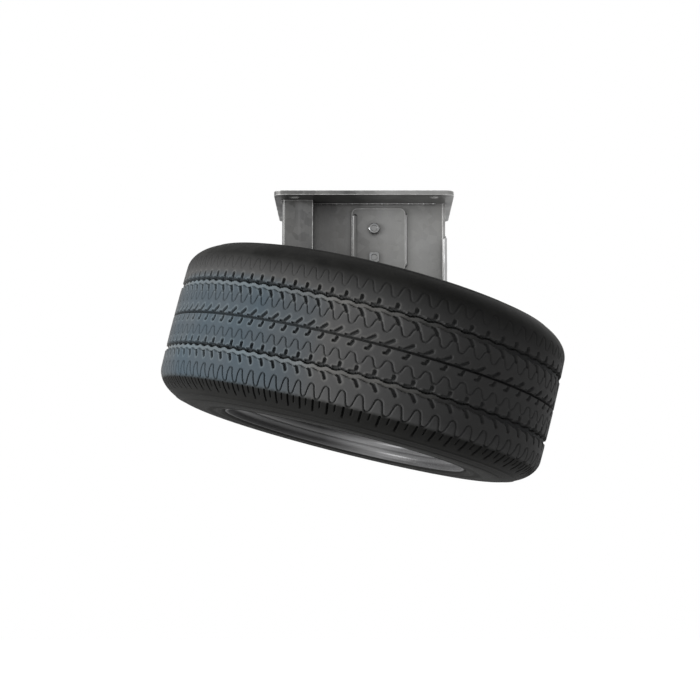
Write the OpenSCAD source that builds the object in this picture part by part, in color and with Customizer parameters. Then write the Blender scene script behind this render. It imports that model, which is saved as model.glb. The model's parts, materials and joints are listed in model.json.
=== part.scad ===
// Under-chassis spare tyre carrier.
// A folded hanger bolts up under the chassis. A tilting arm swings between its two sheets and is
// locked by a bolt in its curved slots. The spare wheel sits on a seat at the foot of the arm, and a
// long centre screw draws it up onto that seat.
// Hanger frame: origin at the middle of the chassis face, +Z up, pivot bolt along Y.
// Wheel frame: origin at the middle of the rim, axis along Z, outer side of the wheel down.

/* [Tyre] */
// Overall diameter of the tyre
tyre_d = 539; // [528:1:552]
// Section width of the tyre
tyre_w = 219; // [211:1:227]
// Diameter at which the tyre is widest
widest_d = 412; // [402:1:422]
// Width of the flat part of the tread
tread_w = 140; // [134:1:146]
// Drop of the tread's edge below its middle
crown_drop = 1; // [0.5:0.5:3]
// Thickness of the tread over the air space
crown_t = 17; // [14:0.5:20]
// Thickness of the sidewalls
side_t = 9; // [7:0.5:11]
// Axial width of each bead
bead_w = 17; // [14:0.5:20]
// Height of each bead's inner face
bead_h = 9; // [7:0.5:12]
// Depth of the tread grooves
tread_depth = 8; // [6:0.5:9]
// Distance from the middle groove to each side groove
groove_pitch = 45; // [41:1:49]
// Width of the two side grooves
groove_w = 9; // [7:0.5:11]
// Width of the middle groove
mid_groove_w = 6; // [4:0.5:8]
// Number of notches round each groove
notch_count = 96; // [84:2:100]
// Width of a notch along the circumference
notch_w = 4; // [3:0.5:5]
// Length of a notch beyond the groove's edge
notch_len = 9; // [6:0.5:11]
// Depth of the notches
notch_depth = 6; // [4:0.5:7]
// Start of the shoulder slots beyond the edge of the flat tread
shoulder_out = 4; // [2:0.5:6]
// Length of the shoulder slots along the wheel axis
shoulder_len = 17; // [13:1:20]
// Depth of the shoulder slots below the middle of the tread
shoulder_depth = 10; // [8:0.5:11]

/* [Rim] */
// Diameter of the bead seats
rim_seat_d = 304.8; // [300:0.1:309]
// Width between the rim flanges
rim_w = 177.8; // [172:0.1:184]
// Height of the flanges above the bead seats
flange_h = 17.3; // [16:0.1:18.5]
// Radius of the flange's curl
curl_r = 8; // [7:0.5:9]
// Length of the straight lip beyond the curl
lip_len = 4; // [2:0.5:5]
// Sheet thickness of the rim
rim_t = 3.5; // [3:0.1:4]
// Width of each bead seat
bench_w = 24; // [20:1:27]
// Depth of the rim's well below the bead seats
well_depth = 22; // [19:0.5:24]
// Width of the well
well_w = 54; // [48:1:58]
// Place of the valve round the rim, in degrees
valve_at = 70; // [40:1:100]
// Length of the valve from the rim to the top of its cap
valve_len = 38; // [34:1:42]
// Diameter of the valve hole
valve_hole_d = 11.4; // [10.5:0.1:12]
// Length of the valve cap
cap_len = 12; // [10:0.5:14]

/* [Disc] */
// Offset of the disc's mounting face from the middle of the rim
wheel_offset = 30; // [26:1:34]
// Sheet thickness of the disc
disc_t = 5; // [4:0.5:6]
// Height of the disc's raised ring beyond its hub face
disc_rise = 16; // [13:1:19]
// Diameter of the disc's flat hub
hub_d = 140; // [136:1:144]
// Share of the way from the hub to the skirt that each slope takes
slope_share = 0.39; // [0.34:0.01:0.42]
// Height of the slope from the raised ring to the skirt
fall = 17; // [14:1:20]
// Height of the skirt above that slope
skirt_h = 23; // [18:1:28]
// Bend radius of the disc
disc_fold = 8; // [7:0.5:9]
// Diameter of the wheel's centre bore
bore_d = 66.6; // [60:0.1:70]
// Pitch circle of the wheel bolts
bolt_pcd = 112; // [108:1:116]
// Number of wheel bolt holes
bolt_count = 5; // [4:1:6]
// Diameter of the wheel bolt holes
bolt_hole_d = 15; // [14:0.5:17]
// Depth of the cone at each wheel bolt hole
bolt_cone = 2.5; // [1:0.5:3]
// Number of vent holes in the disc
vent_count = 10; // [6:1:12]
// Diameter of the vent holes
vent_d = 18; // [14:0.5:20]

/* [Hanger] */
// Chassis hole spacing along X
hole_x = 190; // [180:1:200]
// Chassis hole spacing along Y
hole_y = 152; // [150:1:158]
// Diameter of the chassis holes
hole_d = 13; // [11:0.5:15]
// Distance from the chassis holes to the plate's long edges
margin_y = 16; // [14:1:20]
// Distance from the chassis holes to the plate's short edges
margin_x = 27; // [22:1:34]
// Corner radius of the chassis plate
plate_corner = 12; // [6:1:16]
// Thickness of the chassis plate
plate_t = 6; // [5:0.5:8]
// Width of the hanger along X
hanger_w = 224; // [216:1:230]
// Sheet thickness of the hanger
sheet_t = 3; // [2.5:0.25:4]
// Depth of the hanger's side flanges
flange_d = 24; // [20:1:26]
// Width of the lip on the hanger's left flange
lip_w = 42; // [36:1:48]
// Height of the cut-out at the top of the hanger's right flange
relief_h = 50; // [40:1:60]
// Depth of the hanger's lower edge below the widest plane of the tyre, along the wheel axis
edge_dip = 2; // [0:0.5:6]
// Width of the doubler plates
doubler_w = 74; // [66:1:80]
// Thickness of the doubler plates
doubler_t = 6; // [5:0.5:8]
// Shift of the doubler plates along X from the hanger's middle
doubler_x = 20; // [16:1:24]
// Gap from the chassis plate to the doubler plates
doubler_top = 8; // [5:1:10]
// Reach of the doubler plates below the lock bolt
doubler_foot = 18; // [16:1:22]
// Corner radius of the doubler plates
doubler_corner = 8; // [4:1:10]
// Height of the tie plates
tie_h = 60; // [50:1:66]
// Distance of the tie plates from the hanger's sides
tie_in = 25; // [20:1:30]

/* [Arm] */
// Tilt of the wheel at rest, in degrees
tilt = 14; // [8:0.5:20]
// Least tilt that the arm's slots allow, in degrees
tilt_min = 0; // [0:0.5:4]
// Greatest tilt that the arm's slots allow, in degrees
tilt_max = 28; // [25:0.5:31]
// Shift of the pivot along X from the hanger's middle
pivot_x = 14; // [10:1:18]
// Depth of the pivot below the chassis face
pivot_drop = 43; // [39:1:47]
// Height of the pivot above the middle of the rim, along the wheel axis
pivot_rise = 184; // [179:1:191]
// Distance of the pivot beside the wheel axis
pivot_side = 30; // [26:1:35]
// Distance from the pivot to the lock bolt
lock_r = 40; // [37:1:44]
// Width of the arm along Y
arm_w = 62; // [56:1:68]
// Sheet thickness of the arm
arm_t = 4; // [3:0.5:5]
// Radius of the arm's round top
arm_top_r = 23; // [21:1:25]
// Half width of the arm's waist, below the lock bolt
waist = 32; // [28:1:36]
// Depth of the waist below the lock bolt
waist_drop = 20; // [16:1:26]
// Radius of the arm's edges at the waist
waist_r = 40; // [30:1:50]
// Width of the arm's foot
foot_w = 96; // [88:1:104]
// Corner radius of the arm's foot
foot_corner = 3; // [2:0.5:5]

/* [Seat] */
// Diameter of the wheel seat
seat_d = 150; // [144:1:160]
// Thickness of the wheel seat
seat_t = 6; // [5:0.5:8]
// Wall of the ring that centres the wheel
spigot_wall = 8; // [6:0.5:10]
// Bevel of that ring
spigot_bevel = 1.5; // [0.5:0.5:2]
// Diameter of the index pins
pin_d = 12; // [10:0.5:13]
// Length of the index pins below the wheel seat
pin_len = 17; // [14:1:20]
// Length of the taper at their tips
pin_taper = 5; // [3:0.5:7]
// Step from the pins to their necks in the wheel seat
pin_step = 1; // [0.5:0.25:2]

/* [Clamp] */
// Diameter of the centre screw
screw_d = 16; // [14:1:18]
// Length of the centre screw above its threaded boss
screw_spare = 112; // [106:1:118]
// Width across flats of the threaded boss
boss_af = 27; // [24:1:30]
// Height of the threaded boss
boss_h = 30; // [24:1:34]
// Width of the clamp plate's bearing ring
bearing_w = 9; // [7:0.5:11]
// Thickness of the clamp plate
clamp_t = 4; // [3:0.5:5]
// Depth of the clamp plate's dish
clamp_dish = 8; // [6:0.5:9]
// Rim of the thrust washer and of the clamp plate's flat beyond the screw's head
head_rim = 4; // [2:0.5:6]
// Height of the screw's head
head_h = 20; // [18:0.5:22]
// Diameter of the screw's head
head_d = 28; // [25:1:31]
// Bevel of the screw
screw_bevel = 2; // [1:0.5:3]
// Diameter of the handle bar
bar_d = 12; // [10:0.5:13]
// Length of the handle bar
bar_len = 126; // [110:1:132]
// Diameter of the handle knobs
knob_d = 22; // [20:0.5:24]
// Depth of the bar in each knob
knob_grip = 14; // [10:1:18]
// Wall of each knob beyond the end of the bar
knob_end = 4; // [2:0.5:6]

/* [Fasteners] */
// Diameter of the pivot and lock bolts
bolt_d = 8; // [7:0.5:10]
// Length of the bolts beyond their nuts
bolt_end = 5; // [2:1:8]
// Outside diameter of the pivot sleeve
sleeve_d = 16; // [14:0.5:18]
// Washer thickness
washer_t = 2; // [1.5:0.25:3]

/* [Clearances] */
// Gap between a bolt and its hole, on the radius
bolt_gap = 0.3; // [0.2:0.1:0.6]
// Running gap of the arm on the pivot sleeve, on the radius
run_gap = 0.06; // [0.03:0.01:0.1]
// Gap between the arm and the hanger's sheets
slide_gap = 0.4; // [0.2:0.1:0.8]
// Gap between the tyre and the rim, and between the disc and the well
seat_gap = 0.25; // [0.1:0.05:0.4]
// Gap between faces that are drawn together or pushed over each other
face_gap = 0.1; // [0.05:0.05:0.2]
// Gap between the clamp plate and the index pins
pin_gap = 3; // [2:0.5:5]
// Reach of the rim's well past the foot of the disc's skirt
well_gap = 2; // [1:0.5:4]

/* [Hidden] */
$fn = 64;
arc_steps = 12;
bend_steps = 6;
// Overshoot of a cut past the faces that it goes through
past = 1;

// Colours
galvanised = "#b9bfc4";
zinc = "#c9ccd0";
wheel_silver = "#a9adb2";
rubber = "#2b2b2d";
black_plastic = "#1d1d1f";

// Disc, from the hub outwards, on its middle surface
disc_face = -wheel_offset - disc_t;
hub_z = -wheel_offset - disc_t / 2;
ring_z = hub_z - disc_rise;
skirt_foot = ring_z + fall;

// Rim and tyre
tyre_r = tyre_d / 2;
half_w = tyre_w / 2;
half_tread = tread_w / 2;
seat_r = rim_seat_d / 2;
half_rim = rim_w / 2;
bench_r = seat_r - rim_t / 2;
bench_z = half_rim - bench_w;
wall_z = half_rim + rim_t / 2;
curl_z = wall_z + curl_r;
curl_mid_r = seat_r + flange_h - rim_t / 2 - curl_r;
heel_r = curl_r + rim_t / 2 + seat_gap;
heel_fold = 5;
well_fold = 8;
well_r = bench_r - well_depth;
well_low = skirt_foot - well_gap;
well_high = well_low + well_w;
skirt_r = well_r - rim_t / 2 - seat_gap - disc_t / 2;
slope_run = slope_share * (skirt_r - hub_d / 2);
vent_r = skirt_r - slope_run * 4 / 5;

// Middle of the rim's outer slope and the way a valve points there, in the plane of the section
slope_a = [bench_r, -bench_z];
slope_b = [well_r, well_low];
valve_mid = (slope_a + slope_b) / 2;
valve_turn = atan2(slope_b.y - slope_a.y, slope_a.x - slope_b.x);

// Hanger and arm
plate_l = hole_x + 2 * margin_x;
plate_w = hole_y + 2 * margin_y;
arm_out = arm_w / 2;
arm_in = arm_out - arm_t;
sheet_in = arm_out + slide_gap;
sheet_mid = sheet_in + sheet_t / 2;
sheet_out = sheet_in + sheet_t;
doubler_out = sheet_out + doubler_t;
pivot = [pivot_x, 0, -pivot_drop];
pivot_in_wheel = [-pivot_side, 0, pivot_rise];
tilt_mid = (tilt_min + tilt_max) / 2;
slot_in_wheel = pivot_in_wheel + lock_r * [sin(tilt_mid), 0, -cos(tilt_mid)];
lock = pivot - [0, 0, lock_r];
hanger_blank = pivot_drop + pivot_rise;
edge_z = half_w - edge_dip;

// Wheel seat and clamp, along the wheel axis
seat_z = -wheel_offset + face_gap;
foot_z = seat_z + seat_t;
clamp_z = disc_face - face_gap;
clamp_foot = clamp_z - clamp_dish - clamp_t;
clamp_d = bolt_pcd - pin_d - 2 * pin_gap;
head_z = clamp_foot - washer_t - face_gap;
screw_top = foot_z + boss_h + screw_spare;
screw_hole_d = screw_d + 2 * bolt_gap;
bar_z = head_z - head_h / 2;

// Hexagon hardware in proportion to its bolt
head_af = 1.7 * bolt_d;
head_t = 0.64 * bolt_d;
nut_t = 0.84 * bolt_d;
washer_d = 2 * bolt_d;
square_w = 1.6 * bolt_d;
spacer_d = 1.7 * bolt_d;
bolt_hole = bolt_d + 2 * bolt_gap;
grip_y = doubler_out + washer_t;
bolt_tip = grip_y + nut_t + bolt_end;

// Plane geometry

function unit(v) = v / norm(v);
function normal(v) = [-v.y, v.x];
function backwards(p) = [for (i = [len(p) - 1:-1:0]) p[i]];
function flipped(p) = [for (q = backwards(p)) [q.x, -q.y]];
function rectangle(x0, x1, y0, y1) = [[x0, y0], [x1, y0], [x1, y1], [x0, y1]];

// Points of an arc about c, from angle a to angle b
function arc(c, r, a, b, n = arc_steps) = [
    for (i = [0:n]) let (t = a + (b - a) * i / n) c + r * [cos(t), sin(t)]
];

// Points of a quarter ellipse from p to q, leaving p along the second axis, or else along the first
function quarter(p, q, along_second, n = arc_steps) = [
    for (i = [0:n]) let (a = 90 * i / n)
        along_second ? [q.x + (p.x - q.x) * cos(a), p.y + (q.y - p.y) * sin(a)]
                     : [p.x + (q.x - p.x) * sin(a), q.y + (p.y - q.y) * cos(a)]
];

// The rounded corner at b on the way from a to c
function corner(a, b, c, r) =
    let (u = unit(a - b), v = unit(c - b), half = acos(u * v) / 2)
    let (centre = b + unit(u + v) * r / sin(half), start = b + u * r / tan(half))
    let (from = atan2(start.y - centre.y, start.x - centre.x))
    let (turn = (180 - 2 * half) * (cross(u, v) > 0 ? -1 : 1))
    arc(centre, r, from, from + turn, bend_steps);

// An open path with its inner corners rounded, one radius for each inner corner
function folded(p, r) = let (last = len(p) - 1) concat(
    [p[0]],
    [for (i = [1:last - 1]) each corner(p[i - 1], p[i], p[i + 1], is_list(r) ? r[i - 1] : r)],
    [p[last]]
);

// A closed outline with its corners rounded, one radius for each corner
function smooth(p, r) = let (n = len(p)) [
    for (i = [0:n - 1]) each corner(p[(i + n - 1) % n], p[i], p[(i + 1) % n], is_list(r) ? r[i] : r)
];

// A path moved sideways by d
function beside(p, d) = let (last = len(p) - 1) [
    for (i = [0:last])
        let (a = normal(unit(p[min(i + 1, last)] - p[min(i, last - 1)])))
        let (b = normal(unit(p[max(i, 1)] - p[max(i - 1, 0)])))
        p[i] + unit(a + b) * d / (unit(a + b) * a)
];

// The outline of a sheet of thickness t bent along a path
function sheet(p, t) = concat(beside(p, t / 2), backwards(beside(p, -t / 2)));

// Placing and shared shapes

module in_wheel() {
    translate(pivot) rotate([0, tilt, 0]) translate(-pivot_in_wheel) children();
}

// A round bar along Y from y0 to y1
module along_y(d, y0, y1) {
    translate([0, y0, 0]) rotate([-90, 0, 0]) cylinder(d = d, h = y1 - y0);
}

// A plate in the XZ plane from y0 to y1
module upright(outline, y0, y1) {
    translate([0, y1, 0]) rotate([90, 0, 0]) linear_extrude(y1 - y0) polygon(outline);
}

module at_bolt(i) {
    rotate(i * 360 / bolt_count) translate([bolt_pcd / 2, 0, 0]) children();
}

// The two wheel bolt holes that take the index pins
module at_pins() {
    for (i = [0, 2]) at_bolt(i) children();
}

// Hexagon of a given width across flats
module hexagon(af, h) {
    cylinder(d = af / cos(30), h = h, $fn = 6);
}

module hex_nut(y0) {
    difference() {
        translate([0, y0, 0]) rotate([-90, 0, 0]) hexagon(head_af, nut_t);
        along_y(bolt_hole, y0 - past, y0 + nut_t + past);
    }
}

// Tube along Y from y0 to y1, drilled for a bolt
module tube(d, y0, y1) {
    difference() {
        along_y(d, y0, y1);
        along_y(bolt_hole, y0 - past, y1 + past);
    }
}

// Hanger

module top_plate() {
    outline = smooth(rectangle(-plate_l / 2, plate_l / 2, -plate_w / 2, plate_w / 2), plate_corner);
    color(galvanised) difference() {
        translate([0, 0, -plate_t]) linear_extrude(plate_t) polygon(outline);
        for (x = [-1, 1], y = [-1, 1]) translate([x * hole_x / 2, y * hole_y / 2, -plate_t - past])
            cylinder(d = hole_d, h = plate_t + 2 * past);
    }
}

// Holes for the pivot and lock bolts, through y0 to y1
module bolt_holes(y0, y1) {
    for (at = [pivot, lock]) translate(at) along_y(bolt_hole, y0, y1);
}

// Everything below the hanger's lower edge, which runs parallel to the wheel
module below_edge() {
    reach = 2 * hanger_w;
    in_wheel() translate([-reach, -reach, edge_z - reach]) cube([2 * reach, 2 * reach, reach]);
}

// Front sheet of the hanger: a web with a flange on each side, a lip on the left flange and a
// cut-out at the top of the right one
module hanger_sheet() {
    side = (hanger_w - sheet_t) / 2;
    proud = sheet_mid + flange_d;
    plan = folded([[lip_w - hanger_w / 2, -proud], [-side, -proud], [-side, -sheet_mid], [side, -sheet_mid],
                   [side, -proud]], sheet_t);
    difference() {
        translate([0, 0, -hanger_blank]) linear_extrude(hanger_blank - plate_t) polygon(sheet(plan, sheet_t));
        below_edge();
        bolt_holes(-sheet_out - past, -sheet_in + past);
        translate([side - sheet_t, -proud - past, -plate_t - relief_h])
            cube([2 * sheet_t, flange_d - sheet_t, relief_h + past]);
    }
}

module front_hanger() {
    color(galvanised) hanger_sheet();
}

module rear_hanger() {
    color(galvanised) mirror([0, 1, 0]) hanger_sheet();
}

module doubler() {
    low = -pivot_drop - lock_r - doubler_foot;
    box = rectangle(doubler_x - doubler_w / 2, doubler_x + doubler_w / 2, low, -plate_t - doubler_top);
    difference() {
        upright(smooth(box, doubler_corner), -doubler_out, -sheet_out);
        bolt_holes(-doubler_out - past, -sheet_out + past);
    }
}

module front_doubler() {
    color(galvanised) doubler();
}

module rear_doubler() {
    color(galvanised) mirror([0, 1, 0]) doubler();
}

// Plate between the two sheets, on the left or right side
module tie(side) {
    color(galvanised) translate([side * (hanger_w / 2 - tie_in) - sheet_t / 2, -sheet_in, -plate_t - tie_h])
        cube([sheet_t, 2 * sheet_in, tie_h]);
}

module left_tie() {
    tie(-1);
}

module right_tie() {
    tie(1);
}

module pivot_sleeve() {
    color(zinc) translate(pivot) tube(sleeve_d, -sheet_in, sheet_in);
}

// Hexagon bolt through both sheets
module pivot_bolt() {
    color(zinc) translate(pivot) {
        along_y(bolt_d, -grip_y, bolt_tip);
        translate([0, -grip_y, 0]) rotate([90, 0, 0]) hexagon(head_af, head_t);
    }
}

module pivot_washers() {
    color(zinc) translate(pivot) for (y = [-grip_y, doubler_out]) tube(washer_d, y, y + washer_t);
}

module pivot_nut() {
    color(zinc) translate(pivot) hex_nut(grip_y);
}

// Tube between the arm's cheeks that keeps the lock bolt from bending them
module lock_spacer() {
    color(zinc) translate(lock) tube(spacer_d, face_gap - arm_in, arm_in - face_gap);
}

// Square-headed bolt through both sheets and the arm's slots
module lock_bolt() {
    w = square_w / 2;
    color(zinc) translate(lock) {
        along_y(bolt_d, -doubler_out, bolt_tip);
        upright(rectangle(-w, w, -w, w), -doubler_out - head_t, -doubler_out);
    }
}

module lock_washer() {
    color(zinc) translate(lock) tube(washer_d, doubler_out, grip_y);
}

module lock_nut() {
    color(zinc) translate(lock) hex_nut(grip_y);
}

// Arm

// Side outline of the arm in the wheel frame
function arm_outline() = let (
    left = pivot_in_wheel.x - arm_top_r, right = pivot_in_wheel.x + arm_top_r,
    top = pivot_rise + arm_top_r, low = slot_in_wheel.z - waist_drop, top_corner = arm_top_r - past
) smooth(
    [[-foot_w / 2, foot_z], [foot_w / 2, foot_z], [slot_in_wheel.x + waist, low],
     [right, top], [left, top], [left, low]],
    [foot_corner, foot_corner, waist_r, top_corner, top_corner, waist_r]
);

// Curved slot for the lock bolt through both cheeks
module lock_slot() {
    y = arm_out + past;
    translate(pivot_in_wheel) {
        rotate([90, 0, 0]) translate([0, 0, -y]) rotate(tilt_min - 90)
            rotate_extrude(angle = tilt_max - tilt_min)
                translate([lock_r - bolt_hole / 2, 0]) square([bolt_hole, 2 * y]);
        for (a = [tilt_min, tilt_max])
            rotate([0, -a, 0]) translate([0, 0, -lock_r]) along_y(bolt_hole, -y, y);
    }
}

// Channel with two cheeks and a web down its left edge
module tilt_arm() {
    color(galvanised) in_wheel() difference() {
        upright(arm_outline(), -arm_out, arm_out);
        translate([arm_t, 0, 0]) upright(arm_outline(), -arm_in, arm_in);
        translate(pivot_in_wheel) along_y(sleeve_d + 2 * run_gap, -arm_out - past, arm_out + past);
        lock_slot();
    }
}

// Wheel seat

module wheel_seat() {
    color(galvanised) in_wheel() difference() {
        translate([0, 0, seat_z]) cylinder(d = seat_d, h = seat_t);
        translate([0, 0, seat_z - past]) {
            cylinder(d = screw_hole_d, h = seat_t + 2 * past);
            at_pins() cylinder(d = pin_d - 2 * pin_step + 2 * bolt_gap, h = seat_t + 2 * past);
        }
    }
}

// Ring that centres the wheel's bore, with a bevelled lower edge
module hub_spigot() {
    low = disc_face + face_gap;
    out = bore_d / 2 - bolt_gap;
    in = out - spigot_wall;
    color(galvanised) in_wheel() rotate_extrude()
        polygon([[in, low], [out - spigot_bevel, low], [out, low + spigot_bevel], [out, seat_z],
                 [in, seat_z]]);
}

// Two pins that stand in wheel bolt holes and stop the wheel turning
module index_pins() {
    r = pin_d / 2;
    neck = r - pin_step;
    tip = seat_z - pin_len;
    color(zinc) in_wheel() at_pins() rotate_extrude()
        polygon([[0, tip], [r - pin_taper / 2, tip], [r, tip + pin_taper], [r, seat_z], [neck, seat_z],
                 [neck, foot_z], [0, foot_z]]);
}

module screw_boss() {
    color(zinc) in_wheel() translate([0, 0, foot_z]) difference() {
        hexagon(boss_af, boss_h);
        translate([0, 0, -past]) cylinder(d = screw_hole_d, h = boss_h + 2 * past);
    }
}

// Tyre

function crown(z) = tyre_r - crown_drop * pow(z / half_tread, 2);

// One tread groove, its floor two thirds as wide as its mouth
function groove(z, w) = let (floor_r = crown(z) - tread_depth) [
    [crown(z - w / 2), z - w / 2], [floor_r, z - w / 3], [floor_r, z + w / 3], [crown(z + w / 2), z + w / 2]
];

// Upper half of the tyre's section, from the middle of the tread round the bead and back inside
function tyre_half() = let (
    widest = [widest_d / 2, half_w],
    guard = [curl_mid_r + heel_r, curl_z],
    guard_lip = guard + [lip_len, 2 * lip_len],
    toe_z = half_rim - bead_w,
    liner = [widest.x, half_w - side_t],
    bead_top = [seat_r + 2 * bead_h, toe_z + bead_w / 2],
    roof = [tyre_r - crown_t, half_tread]
) concat(
    [for (i = [2, 3]) groove(0, mid_groove_w)[i]],
    groove(groove_pitch, groove_w),
    quarter([crown(half_tread), half_tread], widest, true),
    quarter(widest, guard_lip, false),
    arc([curl_mid_r, curl_z], heel_r, 0, -90),
    arc([bench_r + heel_fold, wall_z - heel_fold], heel_fold - rim_t / 2 - seat_gap, 90, 180, bend_steps),
    [[seat_r + seat_gap, toe_z], [seat_r + bead_h, toe_z], bead_top],
    quarter(liner, roof, false)
);

// Ring of teeth that cuts one row of notches from z0 to z1
module notch_row(z0, z1, depth, turn = 0) {
    half_slot = asin(notch_w / tyre_d);
    clear_r = tyre_r + past;
    floor_r = tyre_r - depth;
    tooth = [[clear_r, -half_slot], [floor_r, -half_slot], [floor_r, half_slot], [clear_r, half_slot]];
    translate([0, 0, z0]) rotate(turn) linear_extrude(z1 - z0) difference() {
        circle(r = clear_r + past);
        polygon([for (i = [0:notch_count - 1], p = tooth) let (a = i * 360 / notch_count + p[1])
            p[0] * [cos(a), sin(a)]]);
    }
}

module tyre() {
    reach = groove_w / 2 + notch_len;
    start = half_tread + shoulder_out;
    color(rubber) in_wheel() difference() {
        rotate_extrude() polygon(concat(tyre_half(), flipped(tyre_half())));
        for (z = [-groove_pitch, groove_pitch]) notch_row(z - reach, z + reach, notch_depth);
        for (z = [-start - shoulder_len, start])
            notch_row(z, z + shoulder_len, shoulder_depth, 180 / notch_count);
    }
}

// Rim and disc

// Rim section on its middle surface, from the outer lip to the inner lip
function rim_path() = let (lip_r = curl_mid_r + curl_r, lip_z = curl_z + lip_len) folded(
    [[lip_r, -lip_z], [lip_r, -wall_z], [bench_r, -wall_z], slope_a, slope_b,
     [well_r, well_high], [bench_r, bench_z], [bench_r, wall_z], [lip_r, wall_z], [lip_r, lip_z]],
    [curl_r, heel_fold, well_fold, well_fold, well_fold, well_fold, heel_fold, curl_r]
);

// Places its children at the valve hole, +Z along the valve
module at_valve() {
    rotate(valve_at) translate([valve_mid.x, 0, valve_mid.y]) rotate([0, 180 + valve_turn, 0]) children();
}

module rim() {
    color(wheel_silver) in_wheel() difference() {
        rotate_extrude() polygon(sheet(rim_path(), rim_t));
        at_valve() cylinder(d = valve_hole_d, h = 4 * rim_t, center = true);
    }
}

// Disc section on its middle surface, from the bore to the skirt
function disc_path() = folded(
    [[bore_d / 2, hub_z], [hub_d / 2, hub_z], [hub_d / 2 + slope_run, ring_z], [skirt_r - slope_run, ring_z],
     [skirt_r, skirt_foot], [skirt_r, skirt_foot + skirt_h]],
    disc_fold
);

module wheel_disc() {
    color(wheel_silver) in_wheel() difference() {
        rotate_extrude() polygon(sheet(disc_path(), disc_t));
        for (i = [0:bolt_count - 1]) at_bolt(i) translate([0, 0, disc_face]) {
            translate([0, 0, -past]) cylinder(d = bolt_hole_d, h = disc_t + 2 * past);
            cylinder(d1 = bolt_hole_d + 2 * bolt_cone, d2 = bolt_hole_d, h = bolt_cone);
        }
        for (i = [0:vent_count - 1]) rotate((i + 0.5) * 360 / vent_count)
            translate([vent_r, 0, ring_z - disc_t]) cylinder(d = vent_d, h = fall + 2 * disc_t);
    }
}

// Rubber valve body: sealing button inside the rim, neck in the hole, skirt and stem outside
module valve_stem() {
    face = rim_t / 2 + seat_gap;
    neck = valve_hole_d / 2 - face_gap;
    button = 1.4 * neck;
    stem = 0.7 * neck;
    color(rubber) in_wheel() at_valve() rotate_extrude()
        polygon([[0, -face - button / 2], [neck, -face - button / 2], [button, -face - stem / 2],
                 [button, -face], [neck, -face], [neck, face], [button, face], [button, face + stem / 2],
                 [neck, face + button], [stem, valve_len - cap_len], [0, valve_len - cap_len]]);
}

module valve_cap() {
    r = 0.42 * valve_hole_d;
    bevel = r / 3;
    foot = valve_len - cap_len + face_gap;
    color(black_plastic) in_wheel() at_valve() rotate_extrude()
        polygon([[0, foot], [r, foot], [r, valve_len - bevel], [r - bevel, valve_len], [0, valve_len]]);
}

// Clamp

// Pressed dish that bears on the disc round its bore
module clamp_plate() {
    r = clamp_d / 2;
    z = clamp_z - clamp_t / 2;
    flat_r = head_d / 2 + head_rim;
    low = z - clamp_dish;
    path = folded([[r, z], [r - bearing_w, z], [flat_r, low], [screw_hole_d / 2, low]], clamp_t);
    color(zinc) in_wheel() rotate_extrude() polygon(sheet(path, clamp_t));
}

module thrust_washer() {
    color(zinc) in_wheel() translate([0, 0, clamp_foot - washer_t]) difference() {
        cylinder(d = head_d + head_rim, h = washer_t);
        translate([0, 0, -past]) cylinder(d = screw_hole_d, h = washer_t + 2 * past);
    }
}

// Long screw with a round head, cross-drilled for the handle bar
module clamp_screw() {
    r = screw_d / 2;
    h = head_d / 2;
    low = head_z - head_h;
    color(zinc) in_wheel() difference() {
        rotate_extrude()
            polygon([[0, low], [h - screw_bevel, low], [h, low + screw_bevel], [h, head_z], [r, head_z],
                     [r, screw_top - screw_bevel], [r - screw_bevel, screw_top], [0, screw_top]]);
        translate([0, 0, bar_z]) along_y(bar_d + 2 * face_gap, -head_d, head_d);
    }
}

module handle_bar() {
    color(zinc) in_wheel() translate([0, 0, bar_z]) along_y(bar_d, -bar_len / 2, bar_len / 2);
}

// Moulded knobs pushed onto the ends of the bar
module handle_knobs() {
    r = knob_d / 2;
    round_r = r / 2;
    shape = concat([[0, 0], [bar_d / 2 + r / 4, 0]],
                   arc([r - round_r, knob_grip + knob_end - round_r], round_r, -30, 90),
                   [[0, knob_grip + knob_end]]);
    color(black_plastic) in_wheel() translate([0, 0, bar_z]) for (s = [-1, 1]) rotate([-90 * s, 0, 0])
        translate([0, 0, bar_len / 2 - knob_grip]) difference() {
            rotate_extrude() polygon(shape);
            translate([0, 0, -past]) cylinder(d = bar_d + 2 * face_gap, h = knob_grip + past + face_gap);
        }
}

top_plate();
front_hanger();
rear_hanger();
front_doubler();
rear_doubler();
left_tie();
right_tie();
pivot_sleeve();
pivot_bolt();
pivot_washers();
pivot_nut();
lock_spacer();
lock_bolt();
lock_washer();
lock_nut();
tilt_arm();
wheel_seat();
hub_spigot();
index_pins();
screw_boss();
tyre();
rim();
wheel_disc();
valve_stem();
valve_cap();
clamp_plate();
thrust_washer();
clamp_screw();
handle_bar();
handle_knobs();
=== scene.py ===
"""Looks of an under-chassis spare tyre carrier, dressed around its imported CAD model.

The folded hanger, the arm, the wheel and the clamp keep their CAD solids and get their finishes here.
The tyre, the centre screw, the bolts and the nuts are rebuilt as finer meshes in the same places. The
weld beads of the steelwork, the rolled edges of the hanger and the lips of the rim are added.
"""

import json
import logging
import math
from dataclasses import dataclass, field
from enum import Enum
from typing import Any, ClassVar, Iterable, Sequence

import bmesh
import bpy
import numpy as np
from mathutils import Matrix, Vector


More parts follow.
